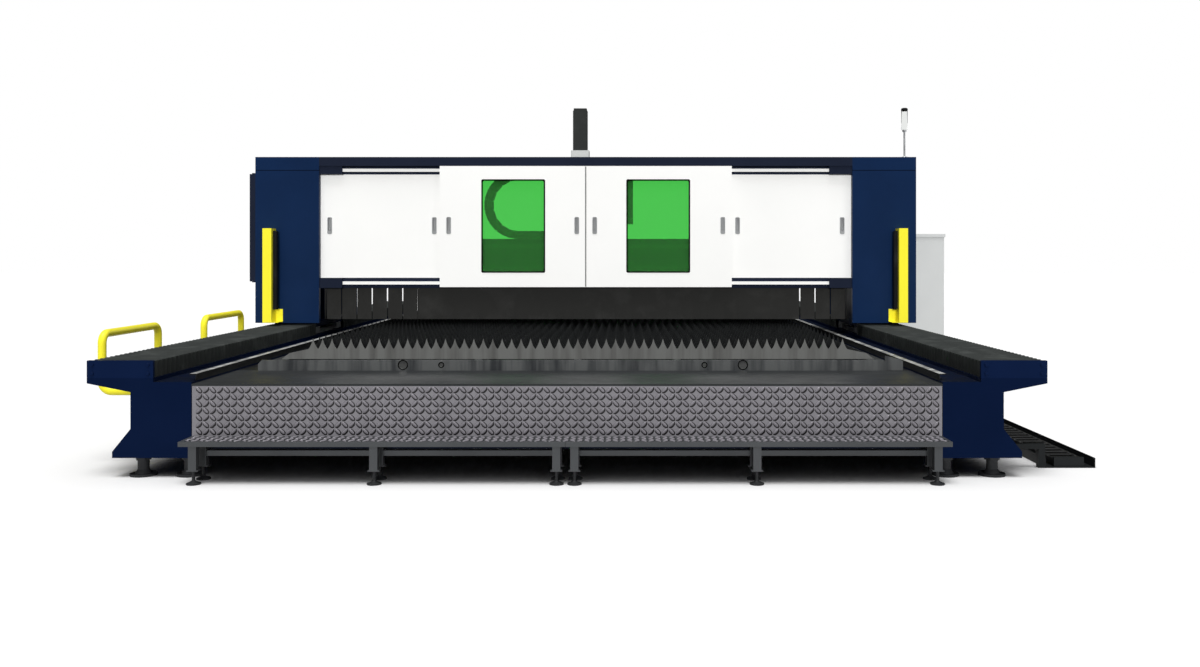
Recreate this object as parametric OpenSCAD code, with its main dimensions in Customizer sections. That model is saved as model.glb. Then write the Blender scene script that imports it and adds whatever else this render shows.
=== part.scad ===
// Gantry type fiber laser cutting machine: bed with slat table, travelling gantry, cutting head.
// Millimetres, +Z up, +Y from the loading end towards the rear, origin on the floor at the bed's centre.

/* [Bed] */
// Length of the bed beams
bed_len = 7600; // [6600:10:9000]
// Clear width between the two beams
bed_inner = 4300; // [4000:10:4600]
// Width of a beam's body
beam_w = 350; // [330:1:380]
// Height of the beams' undersides above the floor
beam_base = 114; // [100:1:140]
// Height of the ledge along the inside of each beam
ledge_z = 549; // [530:1:570]
// Width of that ledge
ledge_w = 220; // [200:1:225]
// Thickness of the rail plate on top of a beam
plate_t = 23; // [15:1:30]
// Overhang of the rail plate past the beam's outer face
plate_out = 250; // [240:1:280]
// Overhang of the flared foot of a beam
flare_out = 105; // [60:1:120]
// Height of the flare's upright edge
flare_edge = 36; // [20:1:50]
// Height at which the flare ends
flare_h = 166; // [120:1:200]
// Number of gusset ribs under each overhang
rib_n = 9; // [5:1:13]
// Thickness of a gusset rib
rib_t = 16; // [10:1:24]
// Depth of a gusset rib at the beam
rib_drop = 58; // [40:1:90]
// Height of a gusset rib at the overhang's edge
rib_edge = 8; // [4:1:20]

/* [Feet] */
// Diameter of a levelling pad
pad_d = 150; // [140:1:160]
// Thickness of the pad's rim
pad_t = 14; // [10:1:18]
// Diameter of a levelling stem
stem_d = 65; // [50:1:70]
// Height of the pad's cone above its rim
pad_cone = 24; // [15:1:30]
// Height of the lock nut
nut_h = 22; // [16:1:28]
// Width across the corners of the lock nut
nut_d = 92; // [84:1:100]
// Number of foot rows along a beam
foot_n = 5; // [3:1:9]
// Distance of the end feet from the beam's end
foot_inset = 80; // [78:1:120]
// Distance of the foot rows from the beam's sides
foot_edge = 40; // [36:1:60]
// Diameter of the anchor hole in a corner pad
anchor_d = 14; // [10:1:16]
// Distance of the anchor hole from the pad's centre
anchor_r = 60; // [56:1:64]

/* [Guideways] */
// Width of a guide rail
rail_w = 45; // [35:1:55]
// Height of a guide rail
rail_h = 38; // [30:1:45]
// Depth of the raceway grooves in a guide rail
rail_groove = 6; // [4:1:10]
// Distance of a guide rail's axis from the beam's inner face
rail_in = 290; // [280:1:300]
// Width of a gear rack
rack_w = 45; // [30:1:50]
// Height of a gear rack
rack_h = 40; // [30:1:45]
// Distance of the rack's toothed side from the beam's inner face
rack_in = 495; // [490:1:500]
// Thickness of the plates that close the rail covers
end_plate_t = 20; // [10:1:30]
// Height of the rail covers above the rail plate
cover_h = 100; // [96:1:110]
// Inset of the covers from the rail plate's edges
cover_inset = 2; // [0:1:6]
// Pitch of a pleat
pleat = 60; // [40:1:90]
// Depth of a pleat
pleat_d = 14; // [8:1:16]
// Thickness of the pleated cloth
pleat_t = 4; // [2:1:5]

/* [Slat table] */
// Pitch of the slats along the bed
slat_pitch = 158; // [130:1:220]
// Number of slats
slat_n = 31; // [21:1:35]
// Thickness of a slat
slat_t = 6; // [4:1:10]
// Height at which the slats stand
slat_base = 538; // [525:1:545]
// Height of a slat from its foot to its tips
slat_h = 145; // [130:1:150]
// Depth of a tooth
tooth_h = 75; // [40:1:90]
// Pitch of the teeth
tooth_pitch = 67; // [50:1:90]
// Gap between a slat's end and the beam
slat_gap = 50; // [30:1:80]
// Run of the slope at a slat's end
slat_slope = 190; // [100:1:240]
// Width of the side bars that carry the slats
side_bar_w = 110; // [90:1:140]
// Width of the bars between them
mid_bar_w = 50; // [40:1:80]
// Height of the bars
bar_h = 80; // [60:1:100]
// Height of the bars that run across
cross_bar_h = 50; // [30:1:60]
// Thickness of the slag pan plates
pan_t = 6; // [4:1:10]
// Half width of the flat middle of the slag pan
pan_mid = 700; // [500:10:900]

/* [Front] */
// Thickness of the platform plates
platform_t = 12; // [8:1:16]
// Thickness of the tread plate covers
cover_t = 8; // [6:1:10]
// Gap between a cover and the beams
cover_gap = 3; // [1:1:6]
// Half length of the lifting strip
strip_half = 2010; // [1800:10:2100]
// Height of the lifting strip
strip_h = 67; // [60:1:80]
// Thickness of the lifting strip
strip_t = 12; // [8:1:16]
// Distance of the lifting strip from the front
strip_y = 690; // [600:10:800]
// Diameter of the lifting holes
lift_d = 52; // [40:1:56]
// Distance of the lifting holes from the middle
lift_x = 1085; // [900:5:1300]
// Diameter of the locating holes
locate_d = 25; // [15:1:30]
// Distance of the locating holes from the middle
locate_x = 840; // [600:5:1000]
// Height of the hole axes above the platform
lift_z = 36; // [33:1:40]

/* [Step] */
// Depth of the step's tread
step_depth = 194; // [180:1:300]
// Height of the tread's top
step_z = 240; // [220:1:260]
// Height of the tread's folded edge
step_fold = 27; // [20:1:40]
// Thickness of the tread sheet
step_t = 5; // [3:1:8]
// Width of a step post
post_w = 45; // [35:1:50]
// Height of the posts' lower ends
post_low = 75; // [60:1:90]
// Thickness of a post's foot flange
post_flange = 6; // [4:1:8]
// Distance of the inner post from the middle
post_in = 50; // [40:1:80]
// Distance of the middle post from the middle
post_mid = 1065; // [900:5:1200]
// Distance of the outer post from the middle
post_out = 2070; // [1950:5:2090]
// Diameter of a step foot's pad
step_pad_d = 80; // [60:1:90]
// Diameter of a step foot's stem
step_stem_d = 18; // [12:1:24]
// Height of the tube that ties the rear posts
tie_z = 150; // [130:1:170]
// Width of that tube
tie_w = 30; // [20:1:40]

/* [Handrail] */
// Diameter of the handrail tube
hand_d = 50; // [30:1:52]
// Distance of the handrail from the bed's centre plane
hand_x = 2900; // [2890:1:2950]
// Height of the handrail's top axis
hand_top = 788; // [700:1:900]
// Height of its lower arms
hand_low = 434; // [400:1:440]
// Length of a handrail
hand_len = 780; // [600:10:1000]
// Front end of the first handrail, from the front
hand_y = 480; // [300:10:600]
// Pitch of the handrails
hand_pitch = 1575; // [1200:5:1800]
// Bend radius of the tube
hand_bend = 60; // [55:1:120]

/* [Gantry] */
// Front of the gantry at rest
gantry_front = -800; // [-900:10:-700]
// Depth of the gantry covers
gantry_depth = 1300; // [1250:10:1400]
// Outer width of the gantry covers
gantry_w = 5674; // [5660:2:5700]
// Width of a column cover
column_w = 547; // [520:1:560]
// Height of the column covers' lower edges
column_low = 690; // [680:1:700]
// Height of the gantry's top
gantry_top = 2115; // [2100:1:2150]
// Sheet thickness of the covers
sheet = 5; // [3:1:6]
// Width of the covers' folded edges
fold_w = 45; // [30:1:45]
// Height of the header
header_h = 77; // [60:1:90]
// Depth of the header
header_d = 80; // [60:1:90]
// Length of an end carriage
saddle_len = 900; // [850:10:1000]
// Distance of the end carriages from the gantry's front
saddle_in = 200; // [180:1:250]
// Height of the end carriage's base above the rail plate
saddle_lift = 68; // [60:1:72]
// Thickness of the end carriage's base
saddle_t = 50; // [40:1:60]
// Length of a bearing block
block_len = 140; // [100:1:180]
// Width of a bearing block
block_w = 100; // [80:1:105]
// Running clearance of slides
run = 0.5; // [0.3:0.1:1]

/* [Crossbeam] */
// Height of the crossbeam's underside
beam_low = 970; // [940:1:1000]
// Height of the crossbeam
beam_h = 450; // [440:1:470]
// Depth of the crossbeam
beam_d = 400; // [300:1:420]
// Distance of the crossbeam's front from the gantry's front
beam_in = 550; // [540:1:560]
// Half length of the crossbeam
beam_half = 2700; // [2690:1:2730]
// Wall of the crossbeam
beam_wall = 16; // [10:1:24]
// Width of a cross rail
x_rail_w = 35; // [25:1:45]
// Height of a cross rail
x_rail_h = 30; // [20:1:36]
// Distance of the cross rails from the beam's edges
x_rail_edge = 70; // [60:1:80]
// Height of the cross rack
x_rack_h = 30; // [20:1:36]

/* [Doors] */
// Half width covered by the centre doors
centre_half = 1254; // [1200:1:1300]
// Height of the centre doors' lower edges
centre_low = 998; // [994:1:1000]
// Overlap of an outer door behind a centre door
outer_lap = 2; // [1:1:64]
// Outer edge of the outer doors
outer_out = 2309; // [2296:1:2309]
// Height of the sill's underside
sill_low = 990; // [980:1:992]
// Height of the outer doors' lower edges
outer_low = 1076; // [1060:1:1090]
// Height of the outer doors' upper edges
outer_top = 1969; // [1950:1:1980]
// Thickness of the centre doors
door_t = 25; // [20:1:30]
// Thickness of the outer doors
outer_t = 22; // [16:1:24]
// Depth of the door frame
frame_d = 35; // [34:1:40]
// Depth of the door tracks
track_d = 19.5; // [15:0.5:19.5]
// Height of the door tracks
track_h = 26; // [20:1:30]
// Length of the door tracks, half
track_half = 2094; // [2090:1:2150]
// Window's inner edge from the middle
win_in = 354; // [300:1:400]
// Window's outer edge from the middle
win_out = 891; // [800:1:950]
// Window's lower edge
win_low = 1127; // [1110:1:1200]
// Window's upper edge
win_top = 1918; // [1850:1:1930]
// Width of the ledge that holds a pane
pane_lip = 12; // [8:1:20]
// Thickness of a pane
pane_t = 6; // [4:1:8]
// Width of a pull
pull_w = 40; // [34:1:46]
// Height of a pull
pull_h = 146; // [120:1:160]
// Height of the pulls' centres
pull_z = 1527; // [1400:1:1600]
// Distance of a pull's centre from the edge of its door
pull_edge = 77; // [60:1:90]
// Depth of a pull's cup
pull_d = 18; // [14:1:20]
// Thickness of a pull's rim
pull_rim = 3; // [2:1:4]

/* [Curtain and guards] */
// Half width of the strip curtain
curtain_half = 2258; // [2200:1:2260]
// Height of the strip curtain's lower edge
curtain_low = 720; // [715:1:740]
// Thickness of the strip curtain
curtain_t = 4; // [3:1:6]
// Pitch of the strips
curtain_pitch = 132; // [100:1:160]
// Width of a slit
slit = 5; // [3:1:8]
// Height of the hem above the slits
hem = 24; // [15:1:40]
// Inner side of a guard post
guard_in = 2660; // [2640:1:2680]
// Width of a guard post
guard_w = 75; // [60:1:80]
// Depth of a guard post
guard_d = 120; // [100:1:140]
// Height of the guard posts' lower ends
guard_low = 700; // [695:1:720]
// Height of the guard posts' upper ends
guard_top = 1500; // [1400:1:1600]
// Wall of a guard post
guard_wall = 4; // [3:1:6]
// Width of the light curtain bars
light_w = 30; // [24:1:36]
// Height of the guard posts' foot brackets
guard_foot = 110; // [80:1:140]

/* [Boxes] */
// Width of the service box
service_w = 150; // [120:1:240]
// Stand-off of the service box from the column
service_gap = 8; // [5:1:12]
// Distance of the service box from the gantry's front
service_in = 300; // [200:10:400]
// Length of the service box
service_len = 700; // [500:10:900]
// Height of the service box's lower edge
service_low = 1030; // [1000:1:1100]
// Height of the service box's upper edge
service_top = 2000; // [1800:1:2050]
// Width of the laser cabinet
cabinet_w = 593; // [500:1:700]
// Depth of the laser cabinet
cabinet_d = 600; // [500:10:800]
// Height of the laser cabinet's underside
cabinet_low = 350; // [300:1:400]
// Height of the laser cabinet's top
cabinet_top = 1475; // [1400:1:1550]
// Distance of the cabinet's front from the gantry's rear
cabinet_lap = 180; // [120:1:240]
// Thickness of the cabinet's lid
cabinet_lid = 30; // [20:1:40]
// Overhang of the cabinet's lid
cabinet_lip = 10; // [5:1:20]
// Distance of the signal lamp from the column's outer face
lamp_edge = 74; // [60:1:120]
// Distance of the signal lamp from the gantry's front
lamp_in = 100; // [80:1:200]
// Diameter of the signal lamp
lamp_d = 60; // [50:1:70]
// Length of the signal lamp's lens
lamp_h = 191; // [150:1:240]
// Length of the signal lamp's pole
pole_h = 243; // [200:1:300]
// Diameter of the signal lamp's pole
pole_d = 16; // [12:1:25]

/* [Chains] */
// Height of a link of the bed chain
chain_h = 50; // [40:1:60]
// Width of the bed chain
chain_w = 180; // [140:1:220]
// Bend radius of the bed chain at mid link
chain_r = 60; // [55:1:65]
// Pitch of the bed chain's links
chain_pitch = 90; // [70:1:120]
// Place of the bend of the bed chain
chain_loop_y = 2200; // [2100:10:2300]
// Distance of the fixed end of the bed chain from the tray's front end
chain_fixed_y = 40; // [20:10:220]
// Width of the chain tray
tray_w = 300; // [270:1:320]
// Gap between the rail plate and the chain tray
tray_gap = 100; // [90:1:110]
// Sheet thickness of the chain tray
tray_t = 4; // [3:1:6]
// Height of the tray's walls
tray_h = 60; // [40:1:70]
// Distance of the tray's front from the bed's front
tray_in = 280; // [200:10:350]
// Height of a link of the cross chain
x_chain_h = 75; // [60:1:80]
// Width of the cross chain
x_chain_w = 120; // [100:1:150]
// Bend radius of the cross chain at mid link
x_chain_r = 277; // [260:0.5:290]
// Pitch of the cross chain's links
x_chain_pitch = 100; // [80:1:130]
// Place of the bend of the cross chain
x_bend_x = -650; // [-700:1:-600]
// Place of the fixed end of the cross chain
x_chain_fixed = 350; // [250:1:450]
// Place of the moving end of the cross chain
x_chain_end = 360; // [300:1:420]
// Share of a link's section left between links
chain_neck = 0.78; // [0.6:0.01:0.9]

/* [Carriage and head] */
// Place of the carriage across the bed
carriage_x = -60; // [-100:1:0]
// Width of the carriage plate
carriage_w = 440; // [420:1:500]
// Thickness of the carriage plate
carriage_t = 30; // [20:1:40]
// Gap between the beam and the carriage plate
carriage_gap = 80; // [70:1:90]
// Length of a cross bearing block
x_block_len = 100; // [80:1:120]
// Height of a cross bearing block
x_block_h = 70; // [60:1:80]
// Width of the lift tower
tower_w = 160; // [140:1:180]
// Depth of the lift tower
tower_d = 160; // [140:1:170]
// Height of the lift tower's foot
tower_low = 1000; // [995:1:1010]
// Height of the lift tower's top
tower_top = 2200; // [2150:1:2250]
// Width of the lift motor cover
cap_w = 128; // [110:1:140]
// Height of the lift motor cover
cap_h = 375; // [300:1:420]
// Width of the lift rail
lift_rail_w = 24; // [20:1:30]
// Height of the lift rail
lift_rail_h = 12; // [10:1:16]
// Length of the lift rail
lift_rail_len = 700; // [600:10:900]
// Width of the lift slide
slide_w = 90; // [80:1:110]
// Thickness of the lift slide
slide_t = 40; // [35:1:45]
// Height of the lift slide's lower edge
slide_low = 1120; // [1110:1:1140]
// Height of the lift slide
slide_h = 200; // [180:1:240]
// Width of the cutting head
head_w = 100; // [80:1:110]
// Depth of the cutting head
head_d = 100; // [80:1:105]
// Height of the cutting head's body's lower edge
head_low = 950; // [920:1:980]
// Height of the cutting head's top
head_top = 1350; // [1320:1:1400]
// Height of the nozzle's tip
nozzle_tip = 800; // [795:1:810]
// Length of the nozzle
nozzle_len = 34; // [25:1:40]
// Diameter of the nozzle
nozzle_d = 30; // [24:1:36]
// Bore of the nozzle
nozzle_bore = 3; // [2:0.5:4]
// Width of a drive motor
motor_w = 130; // [100:1:140]
// Height of a drive gearbox
gear_h = 110; // [80:1:130]
// Height of a drive motor
motor_h = 240; // [180:1:260]
// Radius of a drive pinion
pinion_r = 48; // [40:1:50]
// Width of a drive pinion
pinion_w = 40; // [30:1:42]
// Diameter of a drive shaft
shaft_d = 40; // [30:1:44]
// Width of the cross drive motor
x_motor_w = 110; // [90:1:115]
// Length of the cross drive motor
x_motor_len = 180; // [150:1:200]
// Radius of the cross drive pinion
x_pinion_r = 38; // [30:1:40]

/* [Hidden] */
$fn = 48;

// Finishes
navy = [0.08, 0.16, 0.29];
dark_navy = [0.05, 0.10, 0.21];
plate_grey = [0.30, 0.31, 0.32];
bright_steel = [0.72, 0.73, 0.74];
slat_grey = [0.37, 0.38, 0.38];
bellows_grey = [0.24, 0.26, 0.25];
yellow = [0.98, 0.90, 0.20];
white = [0.97, 0.97, 0.96];
pale_grey = [0.80, 0.81, 0.81];
black = [0.10, 0.10, 0.10];
glass_green = [0.29, 0.78, 0.30, 0.5];
copper = [0.72, 0.45, 0.25];

// Bed outline
bed_y = bed_len / 2;
inner_x = bed_inner / 2;
outer_x = inner_x + beam_w;
plate_x = outer_x + plate_out;
seat_x = inner_x + ledge_w;
seat_z = ledge_z + plate_t;
cover_z = seat_z + cover_h;
rail_x = inner_x + rail_in;
rack_x = inner_x + rack_in;
rail_gap = 10;
groove_h = 7;
groove_flat = 6;
groove_top = 6;
rail_end = bed_y - end_plate_t - rail_gap;

// Gantry outline
gantry_y = gantry_front;
gantry_rear = gantry_y + gantry_depth;
gantry_x = gantry_w / 2;
column_x = gantry_x - column_w;
saddle_y = gantry_y + saddle_in;
saddle_end = saddle_y + saddle_len;
saddle_z = seat_z + saddle_lift;
saddle_top = saddle_z + saddle_t;
beam_y = gantry_y + beam_in;
beam_top = beam_low + beam_h;
pinion_x = rack_x - pinion_r - run;
drive_in = 50;
shaft_clear = 10;
drive_y = saddle_y + motor_w / 2 + drive_in;

// Doors and front
frame_y = gantry_y + fold_w;
header_z = gantry_top - header_h;
door_back = gantry_y + door_t;
track_y = frame_y - track_d;
track_in = 34.5;
lower_track_z = centre_low + track_in;
upper_track_z = header_z - track_in;
door_gap = 5;
outer_in = centre_half - outer_lap;
outer_y = frame_y + door_gap;
lap = 20;
win_r = 14;
pane_r = 20;
pane_in = 0.2;
pull_lip = 4;
pull_r = 10;
centre_pulls = [pull_edge, centre_half - pull_edge];
outer_pulls = [outer_in + pull_edge - lap, outer_out - pull_edge - lap];

// Carriage and head
plate_y = beam_y - carriage_gap;
plate_front = plate_y - carriage_t;
tower_front = plate_front - tower_d;
slide_front = tower_front - slide_t;
head_y = slide_front - head_d / 2;
x_rail_z = [beam_low + x_rail_edge, beam_top - x_rail_edge];
x_rack_drop = 35;
x_rack_z = beam_low + beam_h / 2 - x_rack_drop;
x_pinion_z = x_rack_z + x_rack_h / 2 + x_pinion_r + run;
x_motor_x = carriage_x - carriage_w / 2 + x_motor_w / 2;

// Chains
tray_x = plate_x + tray_gap;
tray_front = -bed_y + tray_in;
chain_x = tray_x + tray_w / 2;
chain_front = tray_front + chain_fixed_y;
chain_gap = 1;
link_gap = 0.08;
chain_low = tray_t + chain_gap;
chain_mid = chain_low + chain_h / 2 + chain_r;
chain_end_in = 60;
chain_end_y = gantry_rear - cabinet_lap + chain_end_in;
x_chain_mid = beam_top + run + x_chain_h / 2 + x_chain_r;
x_chain_y = beam_y + beam_d / 2;

// Slats
slat_half = inner_x - slat_gap;
slat_y = slat_pitch * (slat_n - 1) / 2;
frame_end = slat_y + slat_pitch / 2;
bar_low = slat_base - bar_h;
bearer_top = bar_low + cross_bar_h;
bearer_bays = 6;
knee_run = 57;
knee_rise = 42;
frame_lift = 36;
frame_h = 140;
frame_low = beam_base + frame_lift;
frame_top = frame_low + frame_h;

// Front covers and steps
cover_x = inner_x - cover_gap;
cover_top = slat_base - platform_t;
cover_low = step_z - step_fold;
step_front = -bed_y - step_depth;
step_seam = 2;
post_rows = [step_front + step_t + post_w / 2, -bed_y - step_t - post_w / 2];

module both() {
    children();
    mirror([1, 0, 0]) children();
}

// Block between two corners
module block(low, high) {
    translate(low) cube(high - low);
}

// Section in X and Z carried along Y
module along_y(y0, y1) {
    translate([0, y1, 0]) rotate([90, 0, 0]) linear_extrude(y1 - y0) children();
}

// Section in Y and Z carried along X
module along_x(x0, x1) {
    translate([x0, 0, 0]) rotate([90, 0, 90]) linear_extrude(x1 - x0) children();
}

module rounded(w, h, r) {
    union() {
        square([w - 2 * r, h], center = true);
        square([w, h - 2 * r], center = true);
        for (sx = [-1, 1], sy = [-1, 1])
            translate([sx * (w / 2 - r), sy * (h / 2 - r)]) circle(r);
    }
}

// Rounded block standing in the X and Z plane, front face at y0
module panel(x, z, w, h, r, y0, y1) {
    translate([x, y1, z]) rotate([90, 0, 0]) linear_extrude(y1 - y0) rounded(w, h, r);
}

module beam_section() {
    polygon([
        [inner_x, beam_base],
        [outer_x + flare_out, beam_base],
        [outer_x + flare_out, beam_base + flare_edge],
        [outer_x, beam_base + flare_h],
        [outer_x, ledge_z],
        [plate_x, ledge_z],
        [plate_x, seat_z],
        [seat_x, seat_z],
        [seat_x, ledge_z],
        [inner_x, ledge_z],
    ]);
}

module rib_section() {
    polygon([
        [outer_x, ledge_z],
        [outer_x, ledge_z - rib_drop],
        [plate_x, ledge_z - rib_edge],
        [plate_x, ledge_z],
    ]);
}

// Beam with flared foot, rail plate and gusset ribs
module beam() {
    rib_step = (bed_len - rib_t) / (rib_n - 1);
    color(navy) union() {
        along_y(-bed_y, bed_y) beam_section();
        for (i = [0 : rib_n - 1])
            along_y(-bed_y + i * rib_step, -bed_y + i * rib_step + rib_t) rib_section();
    }
}

module left_beam() {
    mirror([1, 0, 0]) beam();
}

module right_beam() {
    beam();
}

// Box tubes that tie the two beams together
module cross_frame() {
    tube_w = 120;
    inset = 160;
    span = bed_y - inset;
    color(dark_navy) for (i = [-2 : 2])
        block([-inner_x, i * span / 2 - tube_w / 2, frame_low],
            [inner_x, i * span / 2 + tube_w / 2, frame_top]);
}

// Levelling foot: pad, cone, stem and lock nut
module foot(anchor_side) {
    difference() {
        union() {
            rotate_extrude() polygon([
                [0, 0],
                [pad_d / 2, 0],
                [pad_d / 2, pad_t],
                [anchor_r - anchor_d, pad_t],
                [stem_d / 2, pad_t + pad_cone],
                [stem_d / 2, beam_base],
                [0, beam_base],
            ]);
            translate([0, 0, beam_base - nut_h]) cylinder(d = nut_d, h = nut_h, $fn = 6);
        }
        if (anchor_side != 0)
            translate([0, anchor_side * anchor_r, -1]) cylinder(d = anchor_d, h = pad_t + 2);
    }
}

module step_foot() {
    rim = 8;
    rotate_extrude() polygon([
        [0, 0],
        [step_pad_d / 2, 0],
        [step_pad_d / 2, rim],
        [step_stem_d, 2 * rim],
        [step_stem_d / 2, 3 * rim],
        [step_stem_d / 2, post_low],
        [0, post_low],
    ]);
}

module levelling_feet() {
    span = bed_len - 2 * foot_inset;
    color(bright_steel) {
        both() for (i = [0 : foot_n - 1]) {
            y = -bed_y + foot_inset + i * span / (foot_n - 1);
            end = i == 0 ? -1 : i == foot_n - 1 ? 1 : 0;
            translate([outer_x - foot_edge, y, 0]) foot(end);
            translate([inner_x + foot_edge, y, 0]) foot(0);
        }
        both() for (x = [post_in, post_mid, post_out], y = post_rows) translate([x, y, 0]) step_foot();
    }
}

module guide_rails() {
    neck = rail_w - 2 * rail_groove;
    low = rail_h - 2 * groove_h - groove_flat - groove_top;
    color(bright_steel) both() along_y(-rail_end, rail_end) translate([rail_x, seat_z]) polygon([
        [-rail_w / 2, 0],
        [rail_w / 2, 0],
        [rail_w / 2, low],
        [neck / 2, low + groove_h],
        [neck / 2, low + groove_h + groove_flat],
        [rail_w / 2, rail_h - groove_top],
        [rail_w / 2, rail_h],
        [-rail_w / 2, rail_h],
        [-rail_w / 2, rail_h - groove_top],
        [-neck / 2, low + groove_h + groove_flat],
        [-neck / 2, low + groove_h],
        [-rail_w / 2, low],
    ]);
}

module racks() {
    color(plate_grey) both()
        block([rack_x, -rail_end, seat_z], [rack_x + rack_w, rail_end, seat_z + rack_h]);
}

// Plates that close the rail covers at both ends of the bed
module rail_end_plates() {
    corner = 4;
    color(navy) both() for (side = [-1, 1])
        panel((seat_x + plate_x) / 2, (seat_z + cover_z) / 2, plate_x - seat_x, cover_h, corner,
            side < 0 ? -bed_y : bed_y - end_plate_t, side < 0 ? -bed_y + end_plate_t : bed_y);
}

// Pleated cover: the zigzag of its top and the zigzag of its sides meet at each fold
module bellows(y0, y1) {
    n = 2 * round((y1 - y0) / pleat);
    step = (y1 - y0) / n;
    x0 = seat_x + cover_inset;
    x1 = plate_x - cover_inset;
    hollow = pleat_d + pleat_t;
    color(bellows_grey) difference() {
        intersection() {
            translate([0, 0, seat_z]) linear_extrude(cover_h) polygon(concat(
                [for (i = [0 : n]) [x0 + (i % 2) * pleat_d, y0 + i * step]],
                [for (i = [n : -1 : 0]) [x1 - (i % 2) * pleat_d, y0 + i * step]]
            ));
            along_x(x0, x1) polygon(concat(
                [[y1, seat_z], [y0, seat_z]],
                [for (i = [0 : n]) [y0 + i * step, cover_z - (i % 2) * pleat_d]]
            ));
        }
        block([x0 + hollow, y0 - 1, seat_z - 1], [x1 - hollow, y1 + 1, cover_z - hollow]);
    }
}

module front_bellows() {
    both() bellows(-bed_y + end_plate_t, saddle_y);
}

module rear_bellows() {
    both() bellows(saddle_end, bed_y - end_plate_t);
}

// Bright angle along the inner edge of each ledge
module edge_strips() {
    lip = 40;
    wall = 6;
    inset = 70;
    color(bright_steel) both() along_y(-bed_y + inset, bed_y - inset) translate([inner_x, ledge_z]) polygon([
        [0, 0],
        [wall, 0],
        [wall, lip - wall],
        [lip, lip - wall],
        [lip, lip],
        [0, lip],
    ]);
}

// Quarter bend of the handrail tube, about Z, from +X to +Y
module tube_bend() {
    rotate_extrude(angle = 90) translate([hand_bend, 0]) circle(d = hand_d);
}

module handrail(y0) {
    arm = hand_x - outer_x - hand_bend;
    color(yellow) union() {
        for (end = [0, 1]) translate([0, y0 + end * hand_len, 0]) {
            translate([-outer_x - arm, 0, hand_low]) rotate([0, 90, 0]) cylinder(d = hand_d, h = arm);
            translate([-outer_x - arm, 0, hand_low + hand_bend]) rotate([90, 180, 0]) tube_bend();
            translate([-hand_x, 0, hand_low + hand_bend])
                cylinder(d = hand_d, h = hand_top - hand_low - 2 * hand_bend);
        }
        translate([-hand_x, y0 + hand_bend, hand_top - hand_bend]) rotate([90, 0, -90]) tube_bend();
        translate([-hand_x, y0 + hand_len - hand_bend, hand_top - hand_bend])
            rotate([90, 0, 90]) tube_bend();
        translate([-hand_x, y0 + hand_bend, hand_top]) rotate([-90, 0, 0])
            cylinder(d = hand_d, h = hand_len - 2 * hand_bend);
    }
}

module side_handrails() {
    for (i = [0, 1]) handrail(-bed_y + hand_y + i * hand_pitch);
}

// Bars along the bed that carry the slats
module slat_frame() {
    color(plate_grey) {
        both() block([inner_x - side_bar_w, -frame_end, bearer_top], [inner_x, frame_end, slat_base]);
        for (x = [-pan_mid, 0, pan_mid])
            block([x - mid_bar_w / 2, -frame_end, bearer_top], [x + mid_bar_w / 2, frame_end, slat_base]);
    }
}

// Bars across the bed, from beam to beam, under them
module slat_bearers() {
    bay = (2 * frame_end - mid_bar_w) / bearer_bays;
    color(plate_grey) for (i = [0 : bearer_bays])
        block([-inner_x, -frame_end + i * bay, bar_low],
            [inner_x, -frame_end + i * bay + mid_bar_w, bearer_top]);
}

// Slat outline: sloped ends and a row of pointed teeth
module slat_outline() {
    top_half = slat_half - slat_slope;
    n = floor(2 * top_half / tooth_pitch);
    start = -n * tooth_pitch / 2;
    shoulder = slat_h - tooth_h;
    knee = [slat_half - knee_run, knee_rise];
    polygon(concat(
        [[slat_half, 0], knee, [-start, shoulder]],
        [for (i = [n - 1 : -1 : 0]) each [
            [start + (i + 0.5) * tooth_pitch, slat_h],
            [start + i * tooth_pitch, shoulder],
        ]],
        [[-knee[0], knee[1]], [-slat_half, 0]]
    ));
}

module slats() {
    color(slat_grey) for (i = [0 : slat_n - 1])
        translate([0, -slat_y + i * slat_pitch + slat_t / 2, slat_base])
            rotate([90, 0, 0]) linear_extrude(slat_t) slat_outline();
}

// Sloped plates and flat middle that gather slag under the slats
module slag_pan() {
    rise = bar_low - frame_top;
    color(plate_grey) {
        both() along_y(-frame_end, frame_end) polygon([
            [pan_mid, frame_top],
            [pan_mid + pan_t * 2, frame_top],
            [inner_x, frame_top + rise - pan_t],
            [inner_x, frame_top + rise],
            [inner_x - side_bar_w, frame_top + rise],
        ]);
        block([-pan_mid, -frame_end, frame_top], [pan_mid, frame_end, frame_top + pan_t]);
    }
}

// Plates from each end of the bed to the slat frame
module platforms() {
    color(plate_grey) {
        block([-inner_x, -bed_y, slat_base - platform_t], [inner_x, -frame_end, slat_base]);
        block([-inner_x, frame_end, slat_base - platform_t], [inner_x, bed_y, slat_base]);
    }
}

// Upright strip with lifting and locating holes
module lifting_strip() {
    chamfer = 25;
    color(bright_steel) difference() {
        along_y(-bed_y + strip_y, -bed_y + strip_y + strip_t) polygon([
            [-strip_half, slat_base],
            [strip_half, slat_base],
            [strip_half, slat_base + strip_h - chamfer],
            [strip_half - chamfer, slat_base + strip_h],
            [-strip_half + chamfer, slat_base + strip_h],
            [-strip_half, slat_base + strip_h - chamfer],
        ]);
        for (side = [-1, 1]) {
            translate([side * lift_x, -bed_y + strip_y - 1, slat_base + lift_z])
                rotate([-90, 0, 0]) cylinder(d = lift_d, h = strip_t + 2);
            translate([side * locate_x, -bed_y + strip_y - 1, slat_base + lift_z])
                rotate([-90, 0, 0]) cylinder(d = locate_d, h = strip_t + 2);
        }
    }
}

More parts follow.
